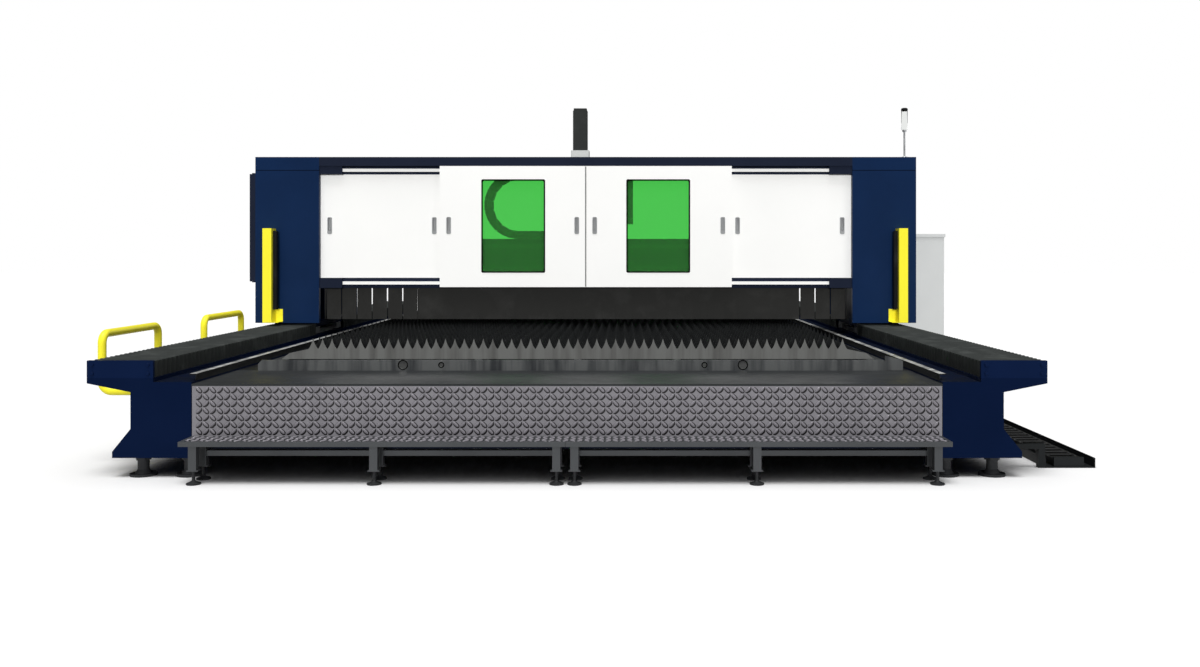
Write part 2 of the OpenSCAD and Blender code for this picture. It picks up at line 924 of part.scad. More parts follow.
// Cover sheet with folded upper and lower edges, face towards -Y
module end_cover() {
    fold = 40;
    along_x(-cover_x, cover_x) polygon([
        [-bed_y, cover_low],
        [-bed_y + fold, cover_low],
        [-bed_y + fold, cover_low + cover_t],
        [-bed_y + cover_t, cover_low + cover_t],
        [-bed_y + cover_t, cover_top - cover_t],
        [-bed_y + fold, cover_top - cover_t],
        [-bed_y + fold, cover_top],
        [-bed_y, cover_top],
    ]);
}

module front_cover() {
    color(plate_grey) end_cover();
}

module rear_cover() {
    color(navy) rotate([0, 0, 180]) end_cover();
}

// Step module: folded tread, square posts with foot flanges and tie tubes between the rear posts
module step_module() {
    posts = [post_in, post_mid, post_out];
    flange_lap = 10;
    color(plate_grey) {
        difference() {
            block([step_seam / 2, step_front, step_z - step_fold], [cover_x, -bed_y, step_z]);
            block([step_seam / 2 + step_t, step_front + step_t, step_z - step_fold - 1],
                [cover_x - step_t, -bed_y - step_t, step_z - step_t]);
        }
        for (x = posts, y = post_rows) union() {
            block([x - post_w / 2, y - post_w / 2, post_low],
                [x + post_w / 2, y + post_w / 2, step_z - step_t]);
            block([x - post_w / 2 - flange_lap, y - post_w / 2, post_low],
                [x + post_w / 2 + flange_lap, y + post_w / 2, post_low + post_flange]);
        }
        for (i = [0, 1])
            block([posts[i] + post_w / 2, post_rows[1] - tie_w / 2, tie_z - tie_w / 2],
                [posts[i + 1] - post_w / 2, post_rows[1] + tie_w / 2, tie_z + tie_w / 2]);
    }
}

module steps() {
    both() step_module();
}

// Tray on the floor for the bed chain, tied to the beam by struts
module chain_tray() {
    strut_w = 40;
    strut_h = 30;
    struts = 5;
    stop_t = 20;
    y0 = tray_front;
    y1 = -tray_front;
    flare_x = outer_x + flare_out;
    color(plate_grey) union() {
        along_y(y0, y1) polygon([
            [tray_x, 0],
            [tray_x + tray_w, 0],
            [tray_x + tray_w, tray_h],
            [tray_x + tray_w - tray_t, tray_h],
            [tray_x + tray_w - tray_t, tray_t],
            [tray_x + tray_t, tray_t],
            [tray_x + tray_t, tray_h],
            [tray_x, tray_h],
        ]);
        for (i = [0 : struts - 1]) {
            y = y0 + i * (y1 - y0 - strut_w) / (struts - 1);
            block([flare_x, y, beam_base], [tray_x, y + strut_w, beam_base + strut_h]);
            block([tray_x - strut_w, y, 0], [tray_x, y + strut_w, beam_base]);
        }
        block([chain_x - chain_w / 2, chain_front - stop_t, 0],
            [chain_x + chain_w / 2, chain_front, tray_h]);
    }
}

// Straight run of chain along +X from the origin, links joined by a narrower core
module chain_run(len, h, w, pitch) {
    n = max(1, round(len / pitch));
    step = len / n;
    gap = step * link_gap;
    color(black) union() {
        block([0, -w * chain_neck / 2, -h * chain_neck / 2], [len, w * chain_neck / 2, h * chain_neck / 2]);
        for (i = [0 : n - 1])
            block([i * step + gap, -w / 2, -h / 2], [(i + 1) * step - gap, w / 2, h / 2]);
    }
}

// Half turn of chain about Z that bulges to -X
module chain_bend(r, h, w, pitch) {
    n = max(3, round(PI * r / pitch));
    step = 180 / n;
    gap = step * link_gap;
    core_h = h * chain_neck;
    core_w = w * chain_neck;
    color(black) rotate([0, 0, 90]) union() {
        rotate_extrude(angle = 180) translate([r, 0]) square([core_h, core_w], center = true);
        for (i = [0 : n - 1]) rotate([0, 0, i * step + gap])
            rotate_extrude(angle = step - 2 * gap) translate([r, 0]) square([h, w], center = true);
    }
}

module chain_lower_run() {
    translate([chain_x, chain_front, chain_mid - chain_r]) rotate([0, 0, 90])
        chain_run(chain_loop_y - chain_front, chain_h, chain_w, chain_pitch);
}

module chain_loop() {
    translate([chain_x, chain_loop_y, chain_mid]) rotate([90, 0, -90])
        chain_bend(chain_r, chain_h, chain_w, chain_pitch);
}

module chain_upper_run() {
    translate([chain_x, chain_end_y, chain_mid + chain_r]) rotate([0, 0, 90])
        chain_run(chain_loop_y - chain_end_y, chain_h, chain_w, chain_pitch);
}

// Arm under the cabinet that pulls the bed chain
module chain_arm() {
    arm_t = 20;
    foot_d = 120;
    color(navy) union() {
        block([chain_x - chain_w / 2, chain_end_y - arm_t, chain_mid + chain_r - chain_h / 2],
            [chain_x + chain_w / 2, chain_end_y, cabinet_low]);
        block([chain_x - chain_w / 2, chain_end_y - arm_t, cabinet_low - arm_t],
            [chain_x + chain_w / 2, chain_end_y - arm_t + foot_d, cabinet_low]);
    }
}

// End carriage: thick base on the bearing blocks and a gusseted leg to the crossbeam
module end_carriage() {
    edge = 15;
    motor_side = 35;
    toe = 50;
    base_in = seat_x + edge;
    base_out = plate_x - edge;
    color(navy) difference() {
        union() {
            block([base_in, saddle_y, saddle_z], [base_out, saddle_end, saddle_top]);
            along_x(base_in + edge, base_out - motor_side) polygon([
                [beam_y, saddle_top],
                [saddle_end - toe, saddle_top],
                [beam_y + beam_d, beam_low],
                [beam_y, beam_low],
            ]);
        }
        translate([pinion_x, drive_y, saddle_z - 1]) cylinder(d = shaft_d + shaft_clear, h = saddle_t + 2);
    }
}

module end_carriages() {
    both() end_carriage();
}

// Blocks that straddle the guide rails
module bearing_blocks() {
    lift = 8;
    inset = 40;
    block_low = seat_z + lift;
    color(plate_grey) both() for (y = [saddle_y + inset, saddle_end - inset - block_len]) difference() {
        block([rail_x - block_w / 2, y, block_low], [rail_x + block_w / 2, y + block_len, saddle_z]);
        block([rail_x - rail_w / 2 - run, y - 1, block_low - 1],
            [rail_x + rail_w / 2 + run, y + block_len + 1, seat_z + rail_h + run]);
    }
}

// Upright gearmotor with its pinion beside the rack
module drive_motors() {
    corner = 12;
    step = 5;
    encoder_h = 36;
    encoder_z = saddle_top + gear_h + motor_h - encoder_h;
    drop = 12;
    color(black) both() translate([pinion_x, drive_y, 0]) union() {
        translate([0, 0, saddle_top]) linear_extrude(gear_h) rounded(motor_w, motor_w, corner);
        translate([0, 0, saddle_top + gear_h]) cylinder(d = motor_w - 2 * step, h = motor_h - encoder_h);
        translate([0, 0, encoder_z]) cylinder(d = motor_w - 6 * step, h = encoder_h);
        translate([0, 0, saddle_z - drop]) cylinder(d = shaft_d, h = saddle_t + drop);
        translate([0, 0, saddle_z - drop - pinion_w]) cylinder(r = pinion_r, h = pinion_w);
    }
}

// Box beam with access holes at the rear and brackets for the covers
module crossbeam() {
    holes = 6;
    hole_w = 480;
    hole_edge = 112.5;
    hole_r = 60;
    pitch = (2 * beam_half - hole_w) / holes;
    bracket_h = 200;
    bracket_d = 120;
    bracket_rise = 80;
    bracket_z = beam_low + bracket_rise;
    color(navy) union() {
        difference() {
            block([-beam_half, beam_y, beam_low], [beam_half, beam_y + beam_d, beam_top]);
            block([-beam_half + beam_wall, beam_y + beam_wall, beam_low + beam_wall],
                [beam_half - beam_wall, beam_y + beam_d - beam_wall, beam_top - beam_wall]);
            for (i = [0 : holes - 1])
                panel((i - (holes - 1) / 2) * pitch, beam_low + beam_h / 2, hole_w, beam_h - 2 * hole_edge,
                    hole_r, beam_y + beam_d - beam_wall - 1, beam_y + beam_d + 1);
        }
        both() block([beam_half, beam_y + (beam_d - bracket_d) / 2, bracket_z],
            [gantry_x - sheet, beam_y + (beam_d + bracket_d) / 2, bracket_z + bracket_h]);
    }
}

// Two guide rails and the gear rack on the front of the crossbeam
module cross_rails() {
    rail_lap = 60;
    half = column_x + rail_lap;
    color(bright_steel) {
        for (z = x_rail_z)
            block([-half, beam_y - x_rail_h, z - x_rail_w / 2], [half, beam_y, z + x_rail_w / 2]);
        block([-half, beam_y - x_rail_h, x_rack_z - x_rack_h / 2], [half, beam_y, x_rack_z + x_rack_h / 2]);
    }
}

// Folded column cover, open towards the middle and at the bottom
module column_cover() {
    color(navy) difference() {
        block([column_x, gantry_y, column_low], [gantry_x, gantry_rear, gantry_top]);
        block([column_x + sheet, gantry_y + sheet, column_low - 1], [gantry_x - sheet, gantry_rear - sheet,
            gantry_top - sheet]);
        block([column_x - 1, gantry_y + fold_w, column_low - 1], [column_x + sheet + 1, gantry_rear - fold_w,
            gantry_top - sheet]);
    }
}

module column_covers() {
    both() column_cover();
}

module headers() {
    color(dark_navy) {
        block([-column_x, gantry_y, header_z], [column_x, gantry_y + header_d, gantry_top]);
        block([-column_x, gantry_rear - header_d, header_z], [column_x, gantry_rear, gantry_top]);
    }
}

// Frame behind the doors: sill, top rail, side posts, and end blocks beside the tracks
module door_frame() {
    side_w = 90;
    block_in = 10;
    frame_x = outer_out + side_w;
    block_y = gantry_y + block_in;
    door_play = 1;
    color(dark_navy) {
        block([-frame_x, frame_y, sill_low], [frame_x, frame_y + frame_d, outer_low]);
        block([-frame_x, frame_y, outer_top], [frame_x, frame_y + frame_d, header_z]);
        both() {
            block([outer_out + door_play, frame_y, outer_low], [frame_x, frame_y + frame_d, outer_top]);
            block([track_half, block_y, sill_low], [column_x, frame_y, outer_low]);
            block([track_half, block_y, outer_top], [column_x, frame_y, header_z]);
        }
    }
}

module door_tracks() {
    color(white) for (z = [lower_track_z, upper_track_z])
        block([-track_half, track_y, z - track_h / 2], [track_half, frame_y, z + track_h / 2]);
}

// Curtain sheet slit into strips below its hem
module strip_curtain() {
    n = floor(2 * curtain_half / curtain_pitch);
    first = -n * curtain_pitch / 2;
    y = frame_y + frame_d / 2 - curtain_t / 2;
    color(black) difference() {
        block([-curtain_half, y, curtain_low], [curtain_half, y + curtain_t, sill_low]);
        for (i = [0 : n])
            block([first + i * curtain_pitch - slit / 2, y - 1, curtain_low - 1],
                [first + i * curtain_pitch + slit / 2, y + curtain_t + 1, sill_low - hem]);
    }
}

// Channel post in front of each column with a foot bracket
module guard_posts() {
    foot_w = 60;
    color(yellow) both() union() {
        difference() {
            block([guard_in, gantry_y - guard_d, guard_low], [guard_in + guard_w, gantry_y, guard_top]);
            block([guard_in + guard_wall, gantry_y - guard_d + guard_wall, guard_low - 1],
                [guard_in + guard_w - guard_wall, gantry_y - guard_wall, guard_top - guard_wall]);
        }
        block([guard_in - foot_w, gantry_y - guard_wall, guard_low],
            [guard_in, gantry_y, guard_low + guard_foot]);
        block([guard_in - foot_w, gantry_y - guard_d, guard_low],
            [guard_in, gantry_y - guard_wall, guard_low + guard_wall]);
    }
}

module light_curtains() {
    depth = 36;
    end = 20;
    lens_t = 2;
    y = gantry_y - guard_d / 2;
    color(black) both() union() {
        block([guard_in - light_w, y - depth / 2, guard_low + guard_foot],
            [guard_in, y + depth / 2, guard_top - end]);
        block([guard_in - light_w - lens_t, y - depth / 4, guard_low + guard_foot + end],
            [guard_in - light_w, y + depth / 4, guard_top - 2 * end]);
    }
}

// Closed electrical box on pads at the gantry's left end
module service_box() {
    y0 = gantry_y + service_in;
    lid = 24;
    lid_edge = 8;
    pad = 80;
    pad_in = 40;
    color(dark_navy) translate([-gantry_x, 0, 0]) union() {
        block([-service_gap - service_w + lid, y0, service_low],
            [-service_gap, y0 + service_len, service_top]);
        block([-service_gap - service_w, y0 + lid_edge, service_low + lid_edge],
            [-service_gap - service_w + lid, y0 + service_len - lid_edge, service_top - lid_edge]);
        for (y = [y0 + pad_in, y0 + service_len - pad_in - pad],
            z = [service_low + pad_in, service_top - pad_in - pad])
            block([-service_gap, y, z], [0, y + pad, z + pad]);
    }
}

// Closed laser source cabinet with lid, plinth, door panel and louvres
module laser_cabinet() {
    x0 = gantry_x;
    x1 = gantry_x + cabinet_w - cabinet_lip;
    y0 = gantry_rear - cabinet_lap;
    y1 = y0 + cabinet_d;
    louvres = 8;
    louvre_h = 12;
    louvre_pitch = 32;
    louvre_d = 8;
    louvre_in = 120;
    door_edge = 30;
    door_proud = 6;
    color(pale_grey) difference() {
        union() {
            block([x0, y0, cabinet_low], [x1, y1, cabinet_top - cabinet_lid]);
            block([x0, y0 - cabinet_lip, cabinet_top - cabinet_lid], [x1 + cabinet_lip, y1 + cabinet_lip,
                cabinet_top]);
            panel((x0 + x1) / 2, (cabinet_low + cabinet_top - cabinet_lid) / 2, x1 - x0 - 2 * door_edge,
                cabinet_top - cabinet_lid - cabinet_low - 2 * door_edge, louvre_d, y1, y1 + door_proud);
        }
        for (i = [0 : louvres - 1])
            block([x1 - louvre_d, y0 + louvre_in, cabinet_low + louvre_in + i * louvre_pitch],
                [x1 + 1, y1 - louvre_in, cabinet_low + louvre_in + i * louvre_pitch + louvre_h]);
    }
}

// Signal lamp: foot, pole, socket, lens and cap in one turned outline
module signal_lamp() {
    r = lamp_d / 2;
    foot_h = 8;
    taper = 6;
    socket_h = 18;
    socket_in = 4;
    dome_h = 14;
    place = [gantry_x - lamp_edge, gantry_y + lamp_in, gantry_top];
    color(pale_grey) translate(place) rotate_extrude() polygon([
        [0, 0],
        [r, 0],
        [r, foot_h],
        [pole_d / 2, foot_h + taper],
        [pole_d / 2, pole_h - socket_h - socket_in],
        [r - socket_in, pole_h - socket_h],
        [r - socket_in, pole_h],
        [r, pole_h],
        [r, pole_h + lamp_h - dome_h],
        [r - taper, pole_h + lamp_h],
        [0, pole_h + lamp_h],
    ]);
}

module x_chain_lower_run() {
    translate([x_bend_x, x_chain_y, x_chain_mid - x_chain_r])
        chain_run(x_chain_fixed - x_bend_x, x_chain_h, x_chain_w, x_chain_pitch);
}

module x_chain_loop() {
    translate([x_bend_x, x_chain_y, x_chain_mid]) rotate([90, 0, 0])
        chain_bend(x_chain_r, x_chain_h, x_chain_w, x_chain_pitch);
}

module x_chain_upper_run() {
    translate([x_bend_x, x_chain_y, x_chain_mid + x_chain_r])
        chain_run(x_chain_end - x_bend_x, x_chain_h, x_chain_w, x_chain_pitch);
}

// Carriage plate with four bearing blocks, and the bracket that pulls the cross chain
module x_carriage() {
    x0 = carriage_x - carriage_w / 2;
    x1 = carriage_x + carriage_w / 2;
    bracket_t = 12;
    bracket_w = 50;
    edge = 20;
    block_in = 10;
    block_play = 6;
    shelf_h = 40;
    riser_gap = 100;
    arm_low = 1550;
    riser_x = x_chain_end - riser_gap;
    chain_top = x_chain_mid + x_chain_r + x_chain_h / 2;
    shelf_low = beam_top - 2 * shelf_h;
    color(plate_grey) difference() {
        union() {
            block([x0, plate_front, beam_low + edge], [x1, plate_y, beam_top - edge]);
            for (z = x_rail_z, x = [x0 + block_in, x1 - block_in - x_block_len])
                block([x, plate_y, z - x_block_h / 2],
                    [x + x_block_len, beam_y - block_play, z + x_block_h / 2]);
            block([x1, plate_front, shelf_low], [riser_x + bracket_w, plate_y, shelf_low + shelf_h]);
            block([riser_x, plate_front, shelf_low], [riser_x + bracket_w, plate_y, arm_low + shelf_h]);
            block([riser_x, plate_front, arm_low], [x_chain_end + bracket_w, plate_y, arm_low + shelf_h]);
            block([x_chain_end, plate_front, arm_low], [x_chain_end + bracket_w, plate_y, chain_top]);
            block([x_chain_end, plate_front, chain_top - x_chain_h],
                [x_chain_end + bracket_t, x_chain_y + x_chain_w / 2, chain_top]);
        }
        for (z = x_rail_z)
            block([x0 - 1, beam_y - x_rail_h - run, z - x_rail_w / 2 - run], [x1 + 1, beam_y + 1,
                z + x_rail_w / 2 + run]);
        translate([x_motor_x, plate_y + 1, x_pinion_z]) rotate([90, 0, 0])
            cylinder(d = shaft_d + shaft_clear, h = carriage_t + 2);
    }
}

// Cross drive: motor in front of the plate, shaft through it, pinion over the rack
module x_motor() {
    gear_len = 72;
    corner = 10;
    step = 4;
    pinion_gap = 4;
    pinion_len = 36;
    hub = pinion_gap + pinion_len;
    color(black) translate([x_motor_x, 0, x_pinion_z]) rotate([90, 0, 0]) union() {
        translate([0, 0, -plate_front]) linear_extrude(gear_len) rounded(x_motor_w, x_motor_w, corner);
        translate([0, 0, gear_len - plate_front])
            cylinder(d = x_motor_w - 2 * step, h = x_motor_len - gear_len);
        translate([0, 0, hub - beam_y]) cylinder(d = shaft_d, h = beam_y - hub - plate_front);
        translate([0, 0, pinion_gap - beam_y]) cylinder(r = x_pinion_r, h = pinion_len);
    }
}

// Lift tower housing with its guide rail
module lift_tower() {
    corner = 10;
    color(pale_grey) union() {
        translate([carriage_x, (plate_front + tower_front) / 2, tower_low])
            linear_extrude(tower_top - tower_low) rounded(tower_w, tower_d, corner);
        block([carriage_x - lift_rail_w / 2, tower_front - lift_rail_h, tower_low + corner],
            [carriage_x + lift_rail_w / 2, tower_front + corner, tower_low + lift_rail_len]);
    }
}

module lift_motor_cover() {
    corner = 12;
    crown = 20;
    color(black) translate([carriage_x, (plate_front + tower_front) / 2, tower_top]) union() {
        linear_extrude(cap_h - crown) rounded(cap_w, cap_w, corner);
        translate([0, 0, cap_h - crown])
            linear_extrude(crown) rounded(cap_w - corner, cap_w - corner, corner);
    }
}

// Block on the lift rail
module lift_slide() {
    color(plate_grey) difference() {
        block([carriage_x - slide_w / 2, slide_front, slide_low],
            [carriage_x + slide_w / 2, tower_front - run, slide_low + slide_h]);
        block([carriage_x - lift_rail_w / 2 - run, tower_front - lift_rail_h - run, slide_low - 1],
            [carriage_x + lift_rail_w / 2 + run, tower_front, slide_low + slide_h + 1]);
    }
}

// Cutting head: optics housing, lens drawer, neck and nozzle holder
module cutting_head() {
    holder_z = nozzle_tip + nozzle_len;
    holder_wall = 6;
    holder_r = nozzle_d / 2 + holder_wall;
    corner = 14;
    drawer = [8, 50, 70];
    drawer_z = 60;
    port_d = 60;
    port_h = 60;
    neck_r = [32, 42];
    collar_h = 20;
    collar_cone = 30;
    color(black) translate([carriage_x, head_y, 0]) union() {
        translate([0, 0, head_low]) linear_extrude(head_top - head_low) rounded(head_w, head_d, corner);
        translate([head_w / 2 - drawer[0] / 4, -drawer[1] / 2, head_low + drawer_z]) cube(drawer);
        translate([0, 0, head_top]) cylinder(d = port_d, h = port_h);
        rotate_extrude() polygon([
            [0, holder_z],
            [holder_r, holder_z],
            [holder_r, holder_z + collar_h],
            [neck_r[0], holder_z + collar_h + collar_cone],
            [neck_r[1], head_low],
            [0, head_low],
        ]);
    }
}

module nozzle() {
    r = nozzle_d / 2;
    tip_r = 4.5;
    cone_h = 20;
    color(copper) translate([carriage_x, head_y, nozzle_tip]) difference() {
        rotate_extrude() polygon([
            [0, 0],
            [tip_r, 0],
            [r, cone_h],
            [r, nozzle_len],
            [0, nozzle_len],
        ]);
        translate([0, 0, -1]) cylinder(d = nozzle_bore, h = nozzle_len + 2);
    }
}

// Pocket through a door for a pull's cup
module pull_pocket(x, y0, t) {
    panel(x, pull_z, pull_w - 2 * pull_lip, pull_h - 2 * pull_lip, pull_r, y0 - 1, y0 + t + 1);
}

// Recessed pull: rim on the door's face, cup behind it, lock barrel in the cup
module pull(x, face) {
    cup_w = pull_w - 2 * pull_lip - 2 * run;
    cup_h = pull_h - 2 * pull_lip - 2 * run;
    barrel_d = 13;
    barrel_drop = 29;
    grip_rise = 10;
    color(bright_steel) union() {
        difference() {
            union() {
                panel(x, pull_z, pull_w, pull_h, pull_r + 2, face - pull_rim, face);
                panel(x, pull_z, cup_w, cup_h, pull_r - run, face, face + pull_d);
            }
            panel(x, pull_z + grip_rise, cup_w - 2 * pull_rim, cup_h - 2 * pull_rim - 2 * grip_rise,
                pull_r - pull_rim, face - pull_rim - 1, face + pull_d - pull_rim);
        }
        translate([x, face + pull_d - pull_rim, pull_z - barrel_drop]) rotate([90, 0, 0])
            cylinder(d = barrel_d, h = pull_d - pull_rim);
    }
}

// Centre door with a window, stepped for the pane, and pockets for its pulls
module centre_door() {
    win_x = (win_in + win_out) / 2;
    win_z = (win_low + win_top) / 2;
    win_w = win_out - win_in;
    win_h = win_top - win_low;
    color(white) difference() {
        block([run, gantry_y, centre_low], [centre_half, door_back, header_z - run]);
        panel(win_x, win_z, win_w, win_h, win_r, gantry_y - 1, door_back + 1);
        panel(win_x, win_z, win_w + 2 * pane_lip, win_h + 2 * pane_lip, pane_r,
            door_back - pane_t, door_back + 1);
        for (x = centre_pulls) pull_pocket(x, gantry_y, door_t);
    }
}

// Laser glass in the step at the door's back
module pane() {
    w = win_out - win_in + 2 * pane_lip - run;
    h = win_top - win_low + 2 * pane_lip - run;
    color(glass_green) panel((win_in + win_out) / 2, (win_low + win_top) / 2, w, h, pane_r,
        door_back - pane_t, door_back - pane_in);
}

// Plain door in the inner track
module outer_door() {
    color(white) difference() {
        block([outer_in, outer_y, outer_low + run], [outer_out, outer_y + outer_t, outer_top - run]);
        for (x = outer_pulls) pull_pocket(x, outer_y, outer_t);
    }
}

module left_centre_door() {
    mirror([1, 0, 0]) centre_door();
}

module right_centre_door() {
    centre_door();
}

module left_outer_door() {
    mirror([1, 0, 0]) outer_door();
}

module right_outer_door() {
    outer_door();
}

module left_pane() {
    mirror([1, 0, 0]) pane();
}

module right_pane() {
    pane();
}

module left_centre_pulls() {
    mirror([1, 0, 0]) for (x = centre_pulls) pull(x, gantry_y);
}

module right_centre_pulls() {
    for (x = centre_pulls) pull(x, gantry_y);
}

module left_outer_pulls() {
    mirror([1, 0, 0]) for (x = outer_pulls) pull(x, outer_y);
}

module right_outer_pulls() {
    for (x = outer_pulls) pull(x, outer_y);
}

left_beam();
right_beam();
cross_frame();
levelling_feet();
guide_rails();
racks();
rail_end_plates();
front_bellows();
rear_bellows();
edge_strips();
side_handrails();
slat_frame();
slat_bearers();
slats();
slag_pan();
platforms();
lifting_strip();
front_cover();
rear_cover();
steps();
chain_tray();
chain_lower_run();
chain_loop();
chain_upper_run();
chain_arm();
end_carriages();
bearing_blocks();
drive_motors();
crossbeam();
cross_rails();
column_covers();
headers();
door_frame();
door_tracks();
strip_curtain();
guard_posts();
light_curtains();
service_box();
laser_cabinet();
signal_lamp();
x_chain_lower_run();
x_chain_loop();
x_carriage();
x_motor();
lift_tower();
lift_motor_cover();
x_chain_upper_run();
lift_slide();
cutting_head();
nozzle();
left_centre_door();
right_centre_door();
left_outer_door();
right_outer_door();
left_pane();
right_pane();
left_centre_pulls();
right_centre_pulls();
left_outer_pulls();
right_outer_pulls();
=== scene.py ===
import math

import bpy
import numpy as np
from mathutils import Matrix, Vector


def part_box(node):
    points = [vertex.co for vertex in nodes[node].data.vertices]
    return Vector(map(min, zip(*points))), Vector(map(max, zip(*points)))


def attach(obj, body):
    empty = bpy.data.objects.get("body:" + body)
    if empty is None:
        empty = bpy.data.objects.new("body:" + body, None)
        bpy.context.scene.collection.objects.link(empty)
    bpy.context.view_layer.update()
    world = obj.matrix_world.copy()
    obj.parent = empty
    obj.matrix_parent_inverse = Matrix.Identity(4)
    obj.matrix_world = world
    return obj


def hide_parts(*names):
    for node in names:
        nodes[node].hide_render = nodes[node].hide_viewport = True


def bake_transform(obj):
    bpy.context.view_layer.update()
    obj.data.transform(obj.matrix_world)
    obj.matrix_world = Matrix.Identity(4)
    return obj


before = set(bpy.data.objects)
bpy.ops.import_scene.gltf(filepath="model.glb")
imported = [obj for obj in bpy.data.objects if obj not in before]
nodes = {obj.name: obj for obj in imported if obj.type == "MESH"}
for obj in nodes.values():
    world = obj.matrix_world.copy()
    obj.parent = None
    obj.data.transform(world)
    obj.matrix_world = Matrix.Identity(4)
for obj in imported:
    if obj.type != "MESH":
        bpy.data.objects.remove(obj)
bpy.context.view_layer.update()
scene = bpy.context.scene
print("stage: frame loaded")


def linear(red, green, blue):
    # screen colour to light, by the sRGB curve
    shade = np.array([red, green, blue]) / 255
    low, high = shade / 12.92, ((shade + 0.055) / 1.055) ** 2.4
    return (*np.where(shade <= 0.04045, low, high).tolist(), 1.0)


def corners(nodeName):
    return (np.array(corner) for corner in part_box(nodeName))


def surface(x, y, z):
    # points from coordinates of any shapes that fit together
    return np.stack(np.broadcast_arrays(x, y, z), axis=-1)


def gridPiece(name, grids, smooth=True):
    # each grid is an array of points over two parameters, or a batch of such arrays, with its two wrap flags
    points, faces, base = [], [], 0
    for grid, wrapU, wrapV in grids:
        batch = grid.reshape(-1, *grid.shape[-3:])
        index = np.arange(batch[..., 0].size).reshape(batch.shape[:3]) + base
        if wrapU:
            index = np.concatenate([index, index[:, :1]], axis=1)
        if wrapV:
            index = np.concatenate([index, index[:, :, :1]], axis=2)
        quads = [index[:, :-1, :-1], index[:, 1:, :-1], index[:, 1:, 1:], index[:, :-1, 1:]]
        faces.append(np.stack(quads, axis=-1).reshape(-1, 4))
        points.append(batch.reshape(-1, 3))
        base += batch[..., 0].size
    mesh = bpy.data.meshes.new(name)
    mesh.from_pydata(np.concatenate(points).tolist(), [], np.concatenate(faces).tolist())
    mesh.polygons.foreach_set("use_smooth", np.full(len(mesh.polygons), smooth))
    mesh.update()
    piece = bpy.data.objects.new(name, mesh)
    scene.collection.objects.link(piece)
    return piece


def finish(piece, look, body, slotName, *replaced):
    piece.data.materials.append(look)
    if body:
        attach(piece, body)
    if replaced:
        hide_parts(*replaced)


def roundedSection(width, height, corner):
    # rectangle with cut corners, centred
    x, z = width / 2, height / 2
    return np.array([
        [-x + corner, -z], [x - corner, -z], [x, -z + corner], [x, z - corner],
        [x - corner, z], [-x + corner, z], [-x, z - corner], [-x, -z + corner],
    ])


def turned(profile, segments):
    # radius and height pairs turned about Z
    turn = np.linspace(0, 2 * np.pi, segments, endpoint=False)
    radius, height = np.array(profile, float).T[:, :, None]
    return surface(radius * np.cos(turn), radius * np.sin(turn), height)


def placed(grid, places, axis):
    # copies of a grid made about Z, stood on each place along an axis
    axis = np.array(axis, float)
    side = np.array([0.0, 0.0, 1.0]) if abs(axis[2]) < 0.5 else np.array([1.0, 0.0, 0.0])
    return np.array(places)[:, None, None] + grid @ np.stack([side, np.cross(axis, side), axis])


# Shader nodes: each helper but the first adds one node and returns what it gives
def feed(tree, socket, value):
    # links a source to a socket, or sets a constant
    if isinstance(value, bpy.types.NodeSocket):
        tree.links.new(value, socket)
    else:
        socket.default_value = value


def noise(tree, vector, scale, detail):
    node = tree.nodes.new("ShaderNodeTexNoise")
    for label, value in (("Vector", vector), ("Scale", scale), ("Detail", detail), ("Roughness", 0.55)):
        feed(tree, node.inputs[label], value)
    return node.outputs["Fac"]


def remap(tree, value, source, target):
    # carries one range of values straight onto another
    node = tree.nodes.new("ShaderNodeMapRange")
    labels = ("Value", "From Min", "From Max", "To Min", "To Max")
    for label, given in zip(labels, (value, *source, *target)):
        feed(tree, node.inputs[label], given)
    return node.outputs["Result"]


def arith(tree, operation, *values):
    node = tree.nodes.new("ShaderNodeMath")
    node.operation = operation
    for socket, value in zip(node.inputs, values):
        feed(tree, socket, value)
    return node.outputs["Value"]


def mixColour(tree, factor, first, second):
    node = tree.nodes.new("ShaderNodeMix")
    node.data_type = "RGBA"
    for label, value in (("Factor", factor), ("A", first), ("B", second)):
        feed(tree, node.inputs[label], value)
    return node.outputs["Result"]


def stretch(tree, vector, scale):
    node = tree.nodes.new("ShaderNodeMapping")
    node.inputs["Scale"].default_value = scale
    tree.links.new(vector, node.inputs["Vector"])
    return node.outputs["Vector"]


def split(tree, vector):
    node = tree.nodes.new("ShaderNodeSeparateXYZ")
    tree.links.new(vector, node.inputs["Vector"])
    return node.outputs


# Shader groups: each gives a colour, a roughness and a height to a material
black, whole = (0, 0, 0, 1), (0.0, 1.0)
# painted shade starts beside the lifting strip, by distance from the middle, and behind the first slats, by place
# along Y
# it stands in for the shade that falls under the slats and among the slat rows behind the first
paintedShadeField = {"strip": (3.06, 3.11), "slats": (-2.36, -2.22), "colour": (0.004, 0.005, 0.006, 1)}
groupOutputs = {"Color": "NodeSocketColor", "Roughness": "NodeSocketFloat", "Height": "NodeSocketFloat"}


def newGroup(name, inputs):
    group = bpy.data.node_groups.new(name, "ShaderNodeTree")
    for label, value in inputs.items():
        kind = "NodeSocketFloat" if isinstance(value, float) else "NodeSocketColor"
        socket = group.interface.new_socket(label, in_out="INPUT", socket_type=kind)
        socket.default_value = value
    for label, kind in groupOutputs.items():
        group.interface.new_socket(label, in_out="OUTPUT", socket_type=kind)
    given, result = group.nodes.new("NodeGroupInput").outputs, group.nodes.new("NodeGroupOutput").inputs
    return group, given, result, group.nodes.new("ShaderNodeTexCoord").outputs["Object"]


